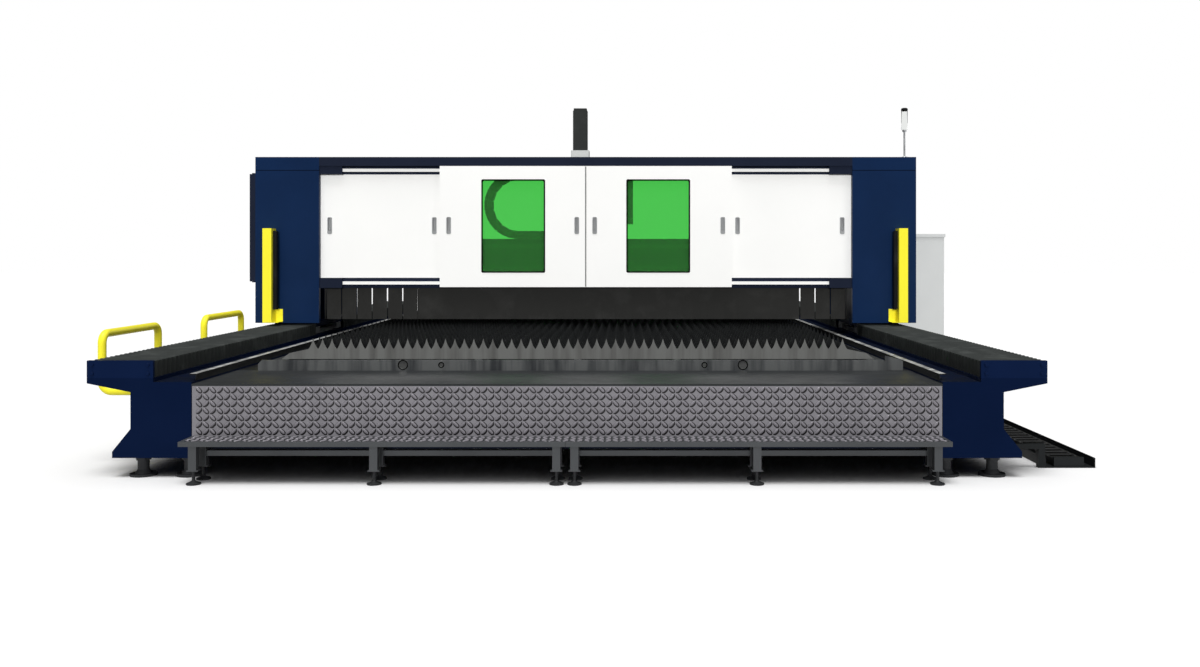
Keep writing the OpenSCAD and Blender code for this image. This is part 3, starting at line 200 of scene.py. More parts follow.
def coatGroup():
    # paint: slow mottling, fine orange peel, a dust colour on upward faces (real dust on most paints, painted shade
    # on the beam tops, a painted highlight on the edge strip tops), a dark seam at one height, and painted shade on
    # the side of the lifting strip where the slats are
    group, given, result, place = newGroup("coat", {
        "Color": (1, 1, 1, 1), "Dust And Top Shading": (0.3, 0.3, 0.3, 1), "Dust And Top Shading Amount": 0.1, "Mottle": 0.16, "Seam": -1.0,
        "Painted Shade": 0.0,
    })
    axes = split(group, place)
    mottle = noise(group, place, scale=2.2, detail=4)
    patch = arith(group, "MULTIPLY", remap(group, mottle, (0.35, 0.7), whole), given["Mottle"])
    shade = mixColour(group, patch, given["Color"], black)
    apart = arith(group, "ABSOLUTE", arith(group, "SUBTRACT", axes["Z"], given["Seam"]))
    seam = remap(group, apart, (0.002, 0.0045), (0.8, 0.0))
    facing = split(group, group.nodes.new("ShaderNodeNewGeometry").outputs["Normal"])
    upward = remap(group, facing["Z"], (0.3, 1.0), whole)
    speck = remap(group, noise(group, place, scale=14, detail=5), (0.35, 0.75), (0.2, 1.0))
    level = arith(group, "MULTIPLY", arith(group, "MULTIPLY", upward, speck), given["Dust And Top Shading Amount"])
    dustedAndTopShaded = mixColour(group, level, shade, given["Dust And Top Shading"])
    along = arith(group, "ABSOLUTE", axes["Y"])
    paintedShadeLevel = arith(group, "MULTIPLY", remap(group, along, paintedShadeField["strip"], (1.0, 0.0)), given["Painted Shade"])
    dark = arith(group, "MAXIMUM", seam, paintedShadeLevel)
    group.links.new(mixColour(group, dark, dustedAndTopShaded, black), result["Color"])
    group.links.new(remap(group, mottle, (0.3, 0.75), (0.32, 0.5)), result["Roughness"])
    group.links.new(noise(group, place, scale=420, detail=2), result["Height"])
    return group


def brushGroup():
    # drawn steel: fine lines along X, darker streaks down the faces, and painted shade past the first slats, where
    # the slat rows lie in shade
    group, given, result, place = newGroup(
        "brush", {"Color": (1, 1, 1, 1), "Dark": black, "Streaks": 0.3, "Painted Shade": 0.0})
    lines = noise(group, stretch(group, place, (0.4, 6.0, 14.0)), scale=30, detail=3)
    smear = noise(group, stretch(group, place, (1.6, 0.3, 0.15)), scale=9, detail=3)
    level = arith(group, "MULTIPLY", remap(group, smear, (0.42, 0.68), whole), given["Streaks"])
    clean = mixColour(group, level, given["Color"], given["Dark"])
    behind = remap(group, split(group, place)["Y"], paintedShadeField["slats"], whole)
    paintedShadeLevel = arith(group, "MULTIPLY", behind, given["Painted Shade"])
    group.links.new(mixColour(group, paintedShadeLevel, clean, paintedShadeField["colour"]), result["Color"])
    group.links.new(remap(group, lines, (0.3, 0.7), (0.3, 0.52)), result["Roughness"])
    group.links.new(lines, result["Height"])
    return group


def mouldGroup():
    # moulded plastic and coated cloth: a fine pebble grain with scuffed lighter patches
    group, given, result, place = newGroup("mould", {"Color": (1, 1, 1, 1), "Scuff": (0.1, 0.1, 0.1, 1)})
    patch = noise(group, place, scale=6, detail=5)
    worn = remap(group, patch, (0.5, 0.8), (0.0, 0.5))
    group.links.new(mixColour(group, worn, given["Color"], given["Scuff"]), result["Color"])
    group.links.new(remap(group, patch, (0.3, 0.7), (0.5, 0.7)), result["Roughness"])
    group.links.new(noise(group, place, scale=260, detail=3), result["Height"])
    return group


groups = {"coat": coatGroup(), "brush": brushGroup(), "mould": mouldGroup()}


def material(name, kind, values, bump=0.05, **sockets):
    # a Principled surface whose colour, roughness and bump come from one shader group
    made = bpy.data.materials.new(name)
    made.use_nodes = True
    tree = made.node_tree
    shader = tree.nodes["Principled BSDF"].inputs
    group = tree.nodes.new("ShaderNodeGroup")
    group.node_tree = groups[kind]
    for label, value in values.items():
        group.inputs[label].default_value = value
    grain = tree.nodes.new("ShaderNodeBump")
    grain.inputs["Strength"].default_value = bump
    grain.inputs["Distance"].default_value = 0.002
    tree.links.new(group.outputs["Height"], grain.inputs["Height"])
    tree.links.new(grain.outputs["Normal"], shader["Normal"])
    tree.links.new(group.outputs["Color"], shader["Base Color"])
    tree.links.new(group.outputs["Roughness"], shader["Roughness"])
    for label, value in sockets.items():
        shader[label.replace("_", " ")].default_value = value
    return made


def paint(name, colour, dustAndTopShading=0.03, dustAndTopShadingColour=(120, 124, 126), spec=0.08, mottle=0.16, seam=-1.0, paintedShade=0.0,
          **more):
    values = {"Color": linear(*colour), "Dust And Top Shading": linear(*dustAndTopShadingColour), "Dust And Top Shading Amount": dustAndTopShading, "Mottle": mottle,
              "Seam": seam, "Painted Shade": paintedShade}
    return material(name, "coat", values, Specular_IOR_Level=spec, **more)


def metal(name, colour, dark, streaks=0.3, metallic=0.6, paintedShade=0.0, **more):
    values = {"Color": linear(*colour), "Dark": linear(*dark), "Streaks": streaks, "Painted Shade": paintedShade}
    return material(name, "brush", values, Metallic=metallic, **more)


def plastic(name, colour, scuff, spec=0.12, **more):
    values = {"Color": linear(*colour), "Scuff": linear(*scuff)}
    return material(name, "mould", values, Specular_IOR_Level=spec, **more)


def glass(name, colour, clear=1.0, haze=0.0):
    # tinted glass with a pale haze on its surface
    made = bpy.data.materials.new(name)
    made.use_nodes = True
    shader = made.node_tree.nodes["Principled BSDF"].inputs
    shader["Base Color"].default_value = linear(*colour)
    shader["Transmission Weight"].default_value = clear
    shader["Roughness"].default_value = 0.02
    shader["IOR"].default_value = 1.1
    shader["Specular IOR Level"].default_value = 0.2
    shader["Sheen Weight"].default_value = haze
    return made


navy = paint("navyPaint", (9, 23, 52), dustAndTopShading=0.01, spec=0.03)
# the beams' upward faces are painted dark grey: painted shade on the ledge between the bellows and the edge strips
beamNavy = paint("beamPaint", (9, 23, 52), dustAndTopShading=0.85, dustAndTopShadingColour=(26, 28, 29), spec=0.03)
endNavy = paint("endPlatePaint", (13, 28, 60), dustAndTopShading=0.01, spec=0.03)
columnNavy = paint("columnPaint", (19, 40, 74), seam=2.0)
darkNavy = paint("darkNavyPaint", (31, 37, 53))
# the edge strips are dark with a pale upward colour: painted shade on their sides under a painted highlight on
# their tops
edgeDark = paint("edgeStrip", (24, 25, 26), dustAndTopShading=1.0, dustAndTopShadingColour=(214, 215, 212), spec=0.2)
plateGrey = paint("plateGrey", (57, 59, 60), dustAndTopShading=0.04, spec=0.05)
# the platform is darkened under the slats with painted shade, which also darkens the holes of the lifting strip
platformGrey = paint("platformGrey", (53, 55, 56), dustAndTopShading=0.04, spec=0.03, paintedShade=0.6)
stepGrey = paint("stepGrey", (74, 76, 78), dustAndTopShading=0.04, spec=0.2)
trayGrey = paint("trayGrey", (34, 36, 37), dustAndTopShading=0.02, spec=0.1)
panGrey = paint("panGrey", (66, 68, 68), dustAndTopShading=0.0, spec=0.1)
white = paint("whitePaint", (254, 254, 252), dustAndTopShading=0.0, spec=0.2, mottle=0.02)
paleGrey = paint("paleGrey", (208, 210, 209), dustAndTopShading=0.0, spec=0.2, mottle=0.05)
yellow = paint("yellowPaint", (255, 244, 58), dustAndTopShading=0.0, spec=0.3, mottle=0.05, bump=0.02)
steel = metal("brightSteel", (196, 198, 199), (120, 122, 124))
# the slats behind the first row are darkened nearly to black with painted shade
slatSteel = metal("slatSteel", (118, 119, 117), (70, 68, 66), streaks=0.5, metallic=0.2, paintedShade=0.92)
stripSteel = metal("stripSteel", (100, 102, 102), (50, 52, 55), streaks=0.9, metallic=0.3)
treadGround = metal("treadGround", (130, 128, 133), (98, 96, 101), streaks=0.3, metallic=0.2)
treadSteel = metal("treadLugs", (132, 129, 135), (106, 104, 109), streaks=0.3, metallic=0.2)
treadShade = metal("treadShade", (12, 11, 13), (6, 5, 7), streaks=0.3, metallic=0.0)
copper = metal("copper", (196, 120, 78), (110, 60, 40), metallic=1.0)
blackPlastic = plastic("blackPlastic", (26, 27, 28), (58, 60, 61))
chainPlastic = plastic("chainPlastic", (17, 18, 18), (44, 45, 46), spec=0.5, Coat_Weight=0.4)
capPlastic = plastic("capPlastic", (50, 52, 51), (66, 68, 67))
motorBlack = plastic("motorBlack", (34, 35, 37), (62, 63, 64), spec=0.4)
curtainRubber = plastic("curtainRubber", (45, 45, 44), (62, 62, 61))
bellowsCloth = plastic("bellowsCloth", (53, 56, 55), (88, 92, 90), bump=0.2)
gasketRubber = plastic("gasketRubber", (10, 11, 10), (20, 21, 20), spec=0.05)
greenGlass = glass("laserGlass", (75, 203, 81), clear=0.86, haze=1.0)
lensGlass = glass("lampLens", (232, 234, 232))
print("stage: materials")

nodeFinish = {
    navy: ["chain_arm", "end_carriages", "crossbeam", "rear_cover"],
    beamNavy: ["left_beam", "right_beam"],
    endNavy: ["rail_end_plates"],
    edgeDark: ["edge_strips"],
    columnNavy: ["column_covers"],
    darkNavy: ["headers", "door_frame", "cross_frame", "service_box"],
    plateGrey: ["x_carriage", "lift_slide", "cross_rails"],
    platformGrey: ["platforms"],
    stepGrey: ["steps"],
    trayGrey: ["chain_tray"],
    panGrey: ["slat_frame", "slat_bearers", "slag_pan"],
    treadGround: ["front_cover"],
    motorBlack: ["levelling_feet", "drive_motors", "x_motor", "cutting_head"],
    steel: ["guide_rails", "bearing_blocks", "left_centre_pulls",
            "right_centre_pulls", "left_outer_pulls", "right_outer_pulls"],
    slatSteel: ["racks"],
    stripSteel: ["lifting_strip"],
    yellow: ["side_handrails", "guard_posts"],
    white: ["left_centre_door", "right_centre_door", "left_outer_door", "right_outer_door", "door_tracks"],
    paleGrey: ["laser_cabinet", "lift_tower"],
    blackPlastic: ["light_curtains"],
    capPlastic: ["lift_motor_cover"],
    copper: ["nozzle"],
    greenGlass: ["left_pane", "right_pane"],
}
for look, names in nodeFinish.items():
    for nodeName in names:
        nodes[nodeName].data.materials.clear()
        nodes[nodeName].data.materials.append(look)

# Pleated way covers: a U section whose wall and top step in and out along the bed by a power of a sine
bellows = {"pitch": 0.06, "depth": 0.014, "power": 0.8, "samples": 8, "corner": 0.012, "arc": 5, "skirt": 0.04,
           "top": (0.12, 0.25), "wide": 0.376}


def bellowsGrid(nodeName, side):
    low, high = corners(nodeName)
    inner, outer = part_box("rail_end_plates")[1][0] - bellows["wide"], high[0]
    length, tall = (high - low)[1:]
    pleats = round(length / bellows["pitch"])
    along = np.linspace(low[1], high[1], pleats * bellows["samples"] + 1)
    phase = (along - low[1]) / length * pleats
    fold = bellows["depth"] * np.abs(np.sin(np.pi * phase)) ** bellows["power"]
    corner = bellows["corner"]
    arc = np.linspace(0, np.pi / 2, bellows["arc"])
    wallX = np.concatenate([[0, 0], corner * (1 - np.cos(arc)), bellows["top"]])[:, None]
    wallZ = np.concatenate([[0, bellows["skirt"]], tall - corner + corner * np.sin(arc), [tall, tall]])[:, None]
    inward = np.minimum(wallX / corner, 1.0)
    offset = np.minimum(wallX + fold * (1 - inward), (outer - inner) / 2)
    left = surface(inner + offset, along, low[2] + wallZ - fold * inward)
    right = left[::-1].copy()
    right[..., 0] = inner + outer - right[..., 0]
    grid = np.concatenate([left, right]).transpose(1, 0, 2)
    grid[..., 0] *= side
    return grid if side < 0 else grid[:, ::-1]


for nodeName, start, end in (("front_bellows", "bed", "gantry"), ("rear_bellows", "gantry", "bed")):
    low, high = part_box(nodeName)
    grid = bellowsGrid(nodeName, 1)
    piece = gridPiece(nodeName + "_cloth", [(bellowsGrid(nodeName, side), False, False) for side in (-1, 1)])
    finish(piece, bellowsCloth, None, "bellows_cloth", nodeName)
    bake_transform(piece)
print("stage: bellows")

# Slats: the tooth height follows a power of the distance from the tooth's middle
slat = {"pitch": 0.158, "thick": 0.006, "tooth": 0.067, "toothDepth": 0.075, "flank": 0.8, "power": 1.25,
        "samples": 8, "slope": 0.19, "endAcross": (0.0, 0.3), "endUp": (0.0, 0.6)}


def slatGrids():
    low, high = corners("slats")
    half = slat["thick"] / 2
    rows = np.arange(low[1] + half, high[1], slat["pitch"])
    teeth = int(2 * (high[0] - slat["slope"]) // slat["tooth"])
    toothSpan = teeth * slat["tooth"] / 2
    across = np.linspace(-toothSpan, toothSpan, teeth * slat["samples"] + 1)
    phase = np.abs(((across + toothSpan) / slat["tooth"]) % 1.0 - 0.5) * 2
    shoulder = high[2] - slat["toothDepth"]
    tops = shoulder + slat["toothDepth"] * (1 - phase ** slat["flank"]) ** slat["power"]
    endX = high[0] - np.array(slat["endAcross"]) * (high[0] - toothSpan)
    endZ = low[2] + (shoulder - low[2]) * np.array(slat["endUp"])
    across = np.concatenate([-endX, across, endX[::-1]])
    tops = np.concatenate([endZ, tops, endZ[::-1]])
    ring = ((-half, low[2]), (-half, tops), (half, tops), (half, low[2]))
    row = np.stack([surface(across, offset, height) for offset, height in ring])
    return row + surface(0.0, rows, 0.0)[:, None, None]


slatPiece = gridPiece("slat_rows", [(slatGrids(), True, False)], smooth=False)
finish(slatPiece, slatSteel, "bed", "slat_steel", "slats")
print("stage: slats")

# Energy chains: two side bands that swell at each link, and cross bars between them
chain = {"band": 0.014, "bandCorner": 0.004, "swell": (0.0, 0.03, 0.09, 0.91, 0.97), "neck": 0.84,
         "barShare": 0.42, "barThick": 0.01, "barCorner": 0.003, "barInset": 0.007, "nudge": 0.001}


def chainGrids(links, step, width, height, place, plain=False):
    # place turns lengths along the chain into points and outward normals;
    # a plain stretch has no swell and no bars
    neck = chain["neck"]
    swell, full = ((0.0,), [neck]) if plain else (chain["swell"], [neck, neck, 1.0, 1.0, neck])
    along = np.append((np.arange(links)[:, None] + np.array(swell)).ravel() * step, links * step)
    full = np.append(np.tile(full, links), neck)[:, None, None]
    path, normals, sideways = place(along)
    section = roundedSection(chain["band"], height, chain["bandCorner"])
    band = path[:, None] + section[:, :1] * sideways + section[:, 1:] * normals[:, None] * full
    grids = [(band + side * sideways * (width - chain["band"]) / 2, False, True) for side in (-1, 1)]
    if plain:
        return grids
    middles = (np.arange(links) + 0.5) * step
    spots, ups, _ = place(middles)
    ahead = place(middles + chain["nudge"])[0] - spots
    ahead /= np.linalg.norm(ahead, axis=1)[:, None]
    section = roundedSection(step * chain["barShare"], chain["barThick"], chain["barCorner"])
    ring = section[:, :1] * ahead[:, None, None] + section[:, 1:] * ups[:, None, None]
    ends = np.array([-1.0, 1.0])[:, None, None] * (width / 2 - chain["band"]) * sideways
    for side in (-1, 1):
        centre = spots + side * ups * (height / 2 - chain["barInset"])
        grids.append((centre[:, None, None] + ends + ring, False, True))
    return grids


def straight(origin, direction, sideways):
    up = np.array([0.0, 0.0, 1.0])
    return lambda s: (origin + s[:, None] * direction, np.broadcast_to(up, (len(s), 3)), sideways)


def halfTurn(centre, radius, direction, sideways):
    def place(s):
        angle = s[:, None] / radius
        normal = np.sin(angle) * direction - np.cos(angle) * np.array([0.0, 0.0, 1.0])
        return centre + radius * normal, normal, sideways

    return place


def chainRun(route, level, direction, sideways):
    # one run in pieces from its held end to the bend; gives its middle and its size
    nodeName = f"{route['name']}_{level}_run"
    low, high = corners(nodeName)
    middle, size = (low + high) / 2, high - low
    length, width = size[route["axis"]], size[1 - route["axis"]]
    ahead = direction * route["bulge"]
    held = middle - ahead * length / 2
    links = round(length / route["pitch"])
    step = length / links
    for first, last in zip([0, *route["cuts"]], [*route["cuts"], links]):
        atBend = last == links
        origin = held + ahead * step * (first if route["bulge"] > 0 else last)
        piece = gridPiece(nodeName + ("_links" if atBend else f"_links_{last}"), chainGrids(
            last - first, step, width, size[2], straight(origin, direction, sideways), plain=last == 1))
        finish(piece, chainPlastic, None, "black_plastic", *([nodeName] if atBend else []))
        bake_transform(piece)
    return middle, size


# cuts are link counts from the held end: a run that shortens a lot is cut, so that its links keep their order
chainRoutes = [
    {"name": "chain", "fixed": "bed", "moving": "gantry", "rolling": "bed_chain_bend", "axis": 1, "bulge": 1,
     "pitch": 0.09, "bendPitch": 0.036, "cuts": []},
    {"name": "x_chain", "fixed": "gantry", "moving": "carriage", "rolling": "cross_chain_bend", "axis": 0,
     "bulge": -1, "pitch": 0.1, "bendPitch": 0.1, "cuts": [1, 2, 3, 4]},
]
for route in chainRoutes:
    axis = route["axis"]
    direction, sideways = np.eye(3)[axis], np.eye(3)[1 - axis]
    lower, runSize = chainRun(route, "lower", direction, sideways)
    upper, _ = chainRun(route, "upper", direction, sideways)
    radius = (upper - lower)[2] / 2
    low, high = corners(route["name"] + "_loop")
    centre = (low + high) / 2
    centre[axis] = low[axis] if route["bulge"] > 0 else high[axis]
    links = round(math.pi * radius / route["bendPitch"])
    piece = gridPiece(route["name"] + "_loop_links", chainGrids(
        links, math.pi * radius / links, (high - low)[1 - axis], runSize[2],
        halfTurn(centre, radius, route["bulge"] * direction, sideways)))
    finish(piece, chainPlastic, route["rolling"], "black_plastic", route["name"] + "_loop")
print("stage: chains")

# Tread plate: lens shaped domes, each turned a quarter from its neighbours, over flat dark lenses as shadows
tread = {"pitch": 0.0398, "half": 0.021, "wide": 0.008, "rise": 0.005, "outline": 1.65, "film": 0.0004,
         "shadow": (0.003, -0.0035), "samples": (7, 5), "clear": 0.006, "coverInset": 0.006,
         "stepInset": (0.03, 0.02)}


def lugGrid(spanU, spanV, grow, rise, shift):
    countU, countV = int(spanU // tread["pitch"]), int(spanV // tread["pitch"])
    u, v = ((np.arange(count) - (count - 1) / 2) * tread["pitch"] for count in (countU, countV))
    gridU, gridV = (grid.reshape(-1, 1, 1) for grid in np.meshgrid(u, v, indexing="ij"))
    odd = (np.arange(countU)[:, None] + np.arange(countV)).reshape(-1, 1, 1) % 2
    turn = np.where(odd, 1.0, -1.0) * np.pi / 4
    long, wide = (np.linspace(-1, 1, count) for count in tread["samples"])
    long = long[:, None]
    lens = np.sqrt(np.clip(1 - long ** 2, 0, 1))
    a = long * tread["half"] + np.sign(long) * (grow - 1) * tread["wide"] / 2
    b = wide * lens * tread["wide"] * grow
    height = tread["film"] + rise * lens * (1 - wide ** 2)
    across = gridU + np.cos(turn) * a - np.sin(turn) * b + shift[0]
    along = gridV + np.sin(turn) * a + np.cos(turn) * b + shift[1]
    return across, along, height


coverLow, coverHigh = corners("front_cover")
stepLow, stepHigh = corners("steps")
faceLow = stepHigh[2] + tread["clear"]
stepSpan = (stepHigh - stepLow)[:2] - tread["stepInset"]
for label, look, *form in (
    ("lugs", treadSteel, 1.0, tread["rise"], (0.0, 0.0)),
    ("outlines", treadShade, tread["outline"], 0.0, tread["shadow"]),
):
    u, v, lift = lugGrid(coverHigh[0] - coverLow[0] - tread["coverInset"], coverHigh[2] - faceLow, *form)
    front = surface(u, coverLow[1] - lift, v + (coverHigh[2] + faceLow) / 2)
    finish(gridPiece("front_tread_" + label, [(front, False, False)]), look, "bed", "tread_plate")
    u, v, lift = lugGrid(*stepSpan, *form)
    top = surface(u, v + (stepHigh[1] + stepLow[1]) / 2, stepHigh[2] + lift)
    finish(gridPiece("step_tread_" + label, [(top, False, False)]), look, "bed", "tread_plate")
print("stage: tread plate")

# Window gaskets: a soft round section carried round the window's rounded rectangle
window = {"inner": 0.354, "outer": 0.891, "low": 1.127, "high": 1.918, "corner": 0.014, "wide": 0.014,
          "sunk": 0.003, "arc": 6, "around": 10}
centreDoors = ((-1, "left_centre"), (1, "right_centre"))


def gasketGrid(side, face):
    corner = window["corner"]
    arc = np.linspace(0, np.pi / 2, window["arc"])
    left, right = window["inner"] + corner, window["outer"] - corner
    foot, head = window["low"] + corner, window["high"] - corner
    path = []
    for quarter, (x, z) in enumerate(((right, head), (left, head), (left, foot), (right, foot))):
        angle = arc + quarter * np.pi / 2
        path.append(surface(x + corner * np.cos(angle), 0.0, z + corner * np.sin(angle)))
    path = np.concatenate(path)
    outward = np.sign(path - np.array([(left + right) / 2, 0.0, (foot + head) / 2]))
    turn = np.linspace(0, 2 * np.pi, window["around"], endpoint=False)[:, None]
    section = np.cos(turn) * outward[:, None] + np.sin(turn) * np.array([0.0, 1.0, 0.0])
    grid = path[:, None] + section * window["wide"] / 2
    grid[..., 1] += face
    grid[..., 0] *= side
    return grid


for side, body in centreDoors:
    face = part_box(body + "_door")[0][1]
    piece = gridPiece(body + "_gasket", [(gasketGrid(side, face + window["sunk"]), True, True)])
    finish(piece, gasketRubber, body, "black_plastic")

# Meeting seals: a half round bead up the inner edge of each centre door
seal = {"wide": 0.0035, "out": 0.004, "inset": 0.0012, "short": 0.004, "arc": 7}
turn = np.linspace(0, np.pi, seal["arc"])
for side, body in centreDoors:
    low, high = corners(body + "_door")
    heights = np.array([[low[2] + seal["short"]], [high[2] - seal["short"]]])
    across = side * (seal["inset"] + seal["wide"] * (1 + np.cos(turn)) / 2)
    bead = surface(across, low[1] - seal["out"] * np.sin(turn), heights)
    finish(gridPiece(body + "_seal", [(bead, False, False)]), gasketRubber, body, "black_plastic")
print("stage: gaskets")

# Strip curtain: each strip hangs with a slow wave that grows towards its lower edge
strip = {"pitch": 0.132, "least": 0.01, "slit": 0.009, "lap": 0.01, "partLeft": -1.5, "partRight": 1.75,
         "wave": 0.004, "power": 1.5, "layer": 0.0015, "across": 7, "down": 9, "seed": 7}
low, high = corners("strip_curtain")
half = high[0]
count = int(2 * half // strip["pitch"])
edges = np.concatenate([[-half], (np.arange(count + 1) - count / 2) * strip["pitch"], [half]])
keep = np.diff(edges) > strip["least"]
starts, ends = edges[:-1][keep], edges[1:][keep]
middle = (starts + ends) / 2
parted = np.where((middle < strip["partLeft"]) | (middle > strip["partRight"]), strip["slit"], -strip["lap"])
starts, ends = starts + parted / 2, ends - parted / 2
share = np.linspace(0, 1, strip["across"])[:, None]
drop = np.linspace(0, 1, strip["down"])
rng = np.random.default_rng(strip["seed"])
lean = rng.uniform(-1, 1, len(starts))[:, None, None]
layer = strip["layer"] * np.where(np.arange(len(starts)) % 2, 1, -1)[:, None, None]
x = starts[:, None, None] + (ends - starts)[:, None, None] * share
y = (low[1] + high[1]) / 2 + strip["wave"] * drop ** strip["power"] * (np.sin(share * np.pi * 2) + lean) + layer
z = high[2] - (high[2] - low[2]) * drop
curtain = gridPiece("curtain_strips", [(surface(x, y, z), False, False)])
finish(curtain, curtainRubber, "gantry", "curtain", "strip_curtain")
print("stage: curtain")

# Signal lamp: turned foot, pole with its socket, lens and cap; all but the foot are measured down from the top
lamp = {
    "segments": 24,
    "foot": [(0.0, 0.0), (0.03, 0.0), (0.03, 0.008), (0.012, 0.014), (0.008, 0.018)],
    "socket": [(0.008, 0.21), (0.018, 0.205), (0.018, 0.191)],
    "lens": [(0.02, 0.191), (0.027, 0.189), (0.027, 0.02), (0.02, 0.018)],
    "cap": [(0.028, 0.022), (0.03, 0.018), (0.026, 0.004), (0.018, 0.0), (0.0, 0.0)],
}
low, high = corners("signal_lamp")
lampPlace = [[(low[0] + high[0]) / 2, (low[1] + high[1]) / 2, low[2]]]
socket, lens, cap = (
    [(radius, high[2] - low[2] - depth) for radius, depth in lamp[part]] for part in ("socket", "lens", "cap"))
for pieceName, profile, look, *replaced in (
    ("lamp_pole", lamp["foot"] + socket, steel, "signal_lamp"),
    ("lamp_lens", lens, lensGlass),
    ("lamp_cap", cap, blackPlastic),
):
    form = placed(turned(profile, lamp["segments"]), lampPlace, (0, 0, 1))
    finish(gridPiece(pieceName, [(form, False, True)]), look, "gantry", "lamp", *replaced)
print("stage: lamp")

# Strip gusset: a five sided plate, its outline drawn in and out through the thickness
gusset = {"thick": 0.012, "reach": 0.1, "rise": 0.093, "low": 0.06, "corner": 0.02, "lap": 0.014, "gap": 0.0005}
low, high = corners("lifting_strip")
left, right = high[0] - gusset["lap"], high[0] + gusset["reach"]
outline = np.array([
    [left, 0.0], [right, 0.0], [right, gusset["low"]],
    [right - gusset["corner"], gusset["low"] + gusset["corner"] / 2], [left, gusset["rise"]],
])
middle = outline.mean(axis=0)
plate = []
for grow, back in ((0.0, 0.0), (1.0, 0.0), (1.0, gusset["thick"]), (0.0, gusset["thick"])):
    x, z = (middle + (outline - middle) * grow).T
    plate.append(surface(x, high[1] + gusset["gap"] + back, low[2] + gusset["gap"] + z))
finish(gridPiece("strip_gusset", [(np.stack(plate), False, True)], smooth=False), stripSteel, "bed", "bright_steel")
print("stage: gusset")

# Hole rims: a dark half round bead carried round each hole of the lifting strip, standing in for the shade inside
# the holes as painted shade
holeShade = {"holes": [(1.085, 0.026), (0.84, 0.0125)], "height": 0.036, "wide": 0.007, "out": 0.003,
       "around": 32, "arc": 7}
around = np.linspace(0, 2 * np.pi, holeShade["around"], endpoint=False)[:, None]
arc = np.linspace(0, np.pi, holeShade["arc"])
holeShadeBeads = []
for holeX, holeRadius in holeShade["holes"]:
    radius = holeRadius + holeShade["wide"] * (1 - np.cos(arc)) / 2
    for side in (-1, 1):
        holeShadeBeads.append((surface(
            side * holeX + radius * np.cos(around), low[1] - holeShade["out"] * np.sin(arc),
            low[2] + holeShade["height"] + radius * np.sin(around)), True, False))
finish(gridPiece("hole_shade_beads", holeShadeBeads), gasketRubber, "bed", "black_plastic")
print("stage: hole rims")

# Hexagon bolts: a washer and a six sided head with a cut edge
bolt = {"head": 0.011, "height": 0.008, "shoulder": 0.85, "chamfer": 0.86, "washer": 0.014, "thick": 0.0015,
        "crown": 0.0016, "segments": 16, "sides": 6, "insets": (0.03, 0.35), "edge": 0.025}


def boltGrids(places, axis):
    head, height, thick = bolt["head"], bolt["height"], bolt["thick"]
    washer = [(0.0, 0.0), (bolt["washer"], 0.0), (bolt["washer"], thick), (0.0, bolt["crown"])]
    hexagon = [(head, thick), (head, height * bolt["shoulder"]), (head * bolt["chamfer"], height), (0.0, height)]
    return [(placed(turned(profile, segments), places, axis), False, True)
            for profile, segments in ((washer, bolt["segments"]), (hexagon, bolt["sides"]))]


plateLow, plateHigh = corners("rail_end_plates")
plateX = [sign * (plateHigh[0] - inset) for sign in (-1, 1) for inset in bolt["insets"]]
plateZ = [plateLow[2] + bolt["edge"], plateHigh[2] - bolt["edge"]]
bolts = []
for face, outward in ((plateLow[1], -1), (plateHigh[1], 1)):
    bolts += boltGrids([[x, face, z] for x in plateX for z in plateZ], (0, outward, 0))
finish(gridPiece("end_plate_bolts", bolts, smooth=False), endNavy, "bed", "navy_paint")
print("stage: bolts")

# Floor, light and camera; each sun has its turn in degrees, strength, softness in degrees and flag
studio = {
    "dome": (0.02, 0.9), "domeEdge": (0.4, 0.9), "shine": 0.25, "bounce": 0.3, "floor": 60.0,
    "suns": [("key", (14.0, 0.0, -12.0), 1.8, 30.0, False), ("fill", (76.0, 0.0, 50.0), 0.3, 20.0, True),
             ("front", (80.0, 0.0, 0.0), 1.98, 12.0, True)],
}
# the floor is white where it is seen, and darker as a source of light
floorMaterial = bpy.data.materials.new("floor")
floorMaterial.use_nodes = True
floorTree = floorMaterial.node_tree
floorShader = floorTree.nodes["Principled BSDF"].inputs
rays = floorTree.nodes.new("ShaderNodeLightPath").outputs
seen = arith(floorTree, "MAXIMUM", rays["Is Camera Ray"], rays["Is Glossy Ray"])
seen = arith(floorTree, "MAXIMUM", seen, rays["Is Transmission Ray"])
floorShade = mixColour(floorTree, seen, (*[studio["bounce"]] * 3, 1), (1, 1, 1, 1))
floorTree.links.new(floorShade, floorShader["Base Color"])
floorShader["Roughness"].default_value = 1.0
floorShader["Specular IOR Level"].default_value = 0.0
sides = np.array([-studio["floor"], studio["floor"]])
floor = gridPiece("floor", [(surface(sides[:, None], sides, 0.0), False, False)], smooth=False)
floor.data.materials.append(floorMaterial)

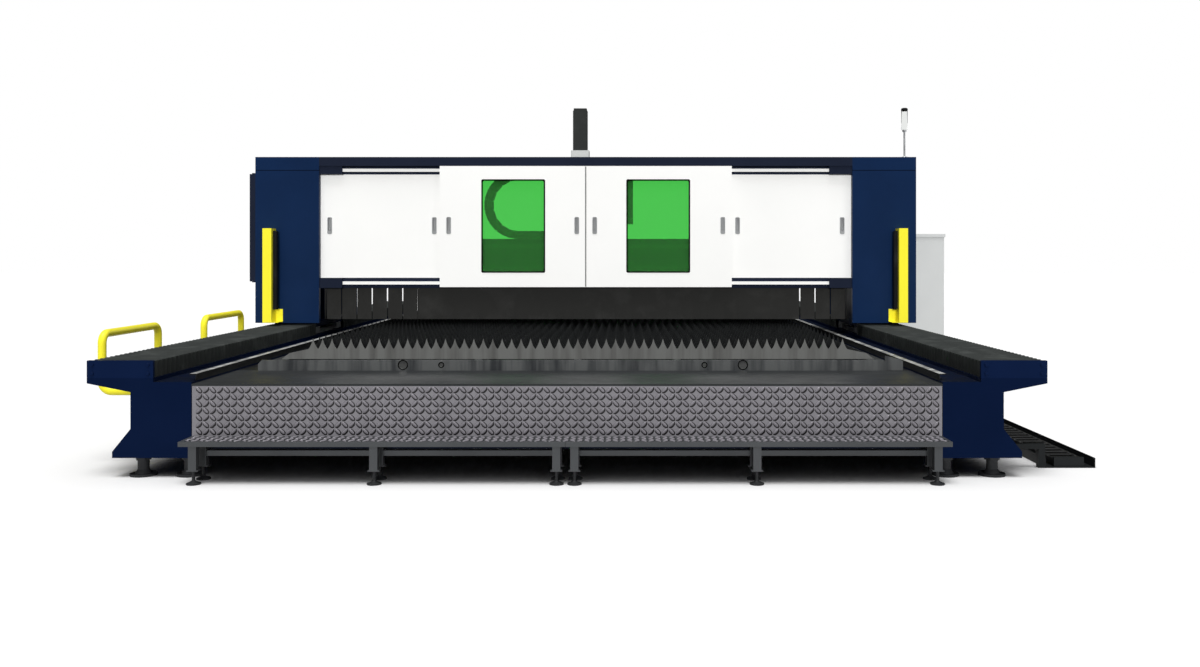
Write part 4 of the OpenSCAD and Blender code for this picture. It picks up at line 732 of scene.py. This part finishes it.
# Sky: full white where it is seen directly or through glass, and a dome that dims towards the horizon as light
world = bpy.data.worlds.new("studio")
scene.world = world
world.use_nodes = True
sky = world.node_tree
background = sky.nodes["Background"].inputs
background["Color"].default_value = (1, 1, 1, 1)
rays = sky.nodes.new("ShaderNodeLightPath").outputs
height = split(sky, sky.nodes.new("ShaderNodeTexCoord").outputs["Generated"])["Z"]
dome = remap(sky, height, studio["domeEdge"], studio["dome"])
shine = remap(sky, rays["Is Glossy Ray"], whole, (1.0, studio["shine"]))
seen = arith(sky, "MAXIMUM", rays["Is Camera Ray"], rays["Is Transmission Ray"])
sky.links.new(arith(sky, "MAXIMUM", arith(sky, "MULTIPLY", dome, shine), seen), background["Strength"])

# a flagged light is kept off the floor and out of mirror images
offFloor = bpy.data.collections.new("offFloor")
offFloor.objects.link(floor)
offFloor.collection_objects[0].light_linking.link_state = "EXCLUDE"
for lightName, degrees, strength, softness, flagged in studio["suns"]:
    sun = bpy.data.lights.new(lightName, "SUN")
    sun.energy = strength
    sun.angle = math.radians(softness)
    sunObject = bpy.data.objects.new(lightName, sun)
    sunObject.rotation_euler = [math.radians(angle) for angle in degrees]
    if flagged:
        sunObject.visible_glossy = sunObject.visible_transmission = False
        sunObject.light_linking.receiver_collection = offFloor
    scene.collection.objects.link(sunObject)

# Photograph's camera: its vanishing point lies right of and above the middle of the 1200 by 667 frame
photo = {"width": 1200, "height": 667, "vanishX": 623, "vanishY": 254, "focal": 1048.2, "sensor": 36.0,
         "place": (0.32, -9.8, 1.282), "far": 200.0}
camera = bpy.data.cameras.new("camera")
camera.sensor_width = photo["sensor"]
camera.lens = photo["focal"] / photo["width"] * camera.sensor_width
camera.shift_x = (photo["width"] / 2 - photo["vanishX"]) / photo["width"]
camera.shift_y = (photo["vanishY"] - photo["height"] / 2) / photo["width"]
camera.clip_end = photo["far"]
cameraObject = bpy.data.objects.new("camera", camera)
cameraObject.location = photo["place"]
cameraObject.rotation_euler = (math.pi / 2, 0.0, 0.0)
scene.collection.objects.link(cameraObject)
scene.camera = cameraObject
scene.view_settings.view_transform = "Standard"
print("stage: light and camera")
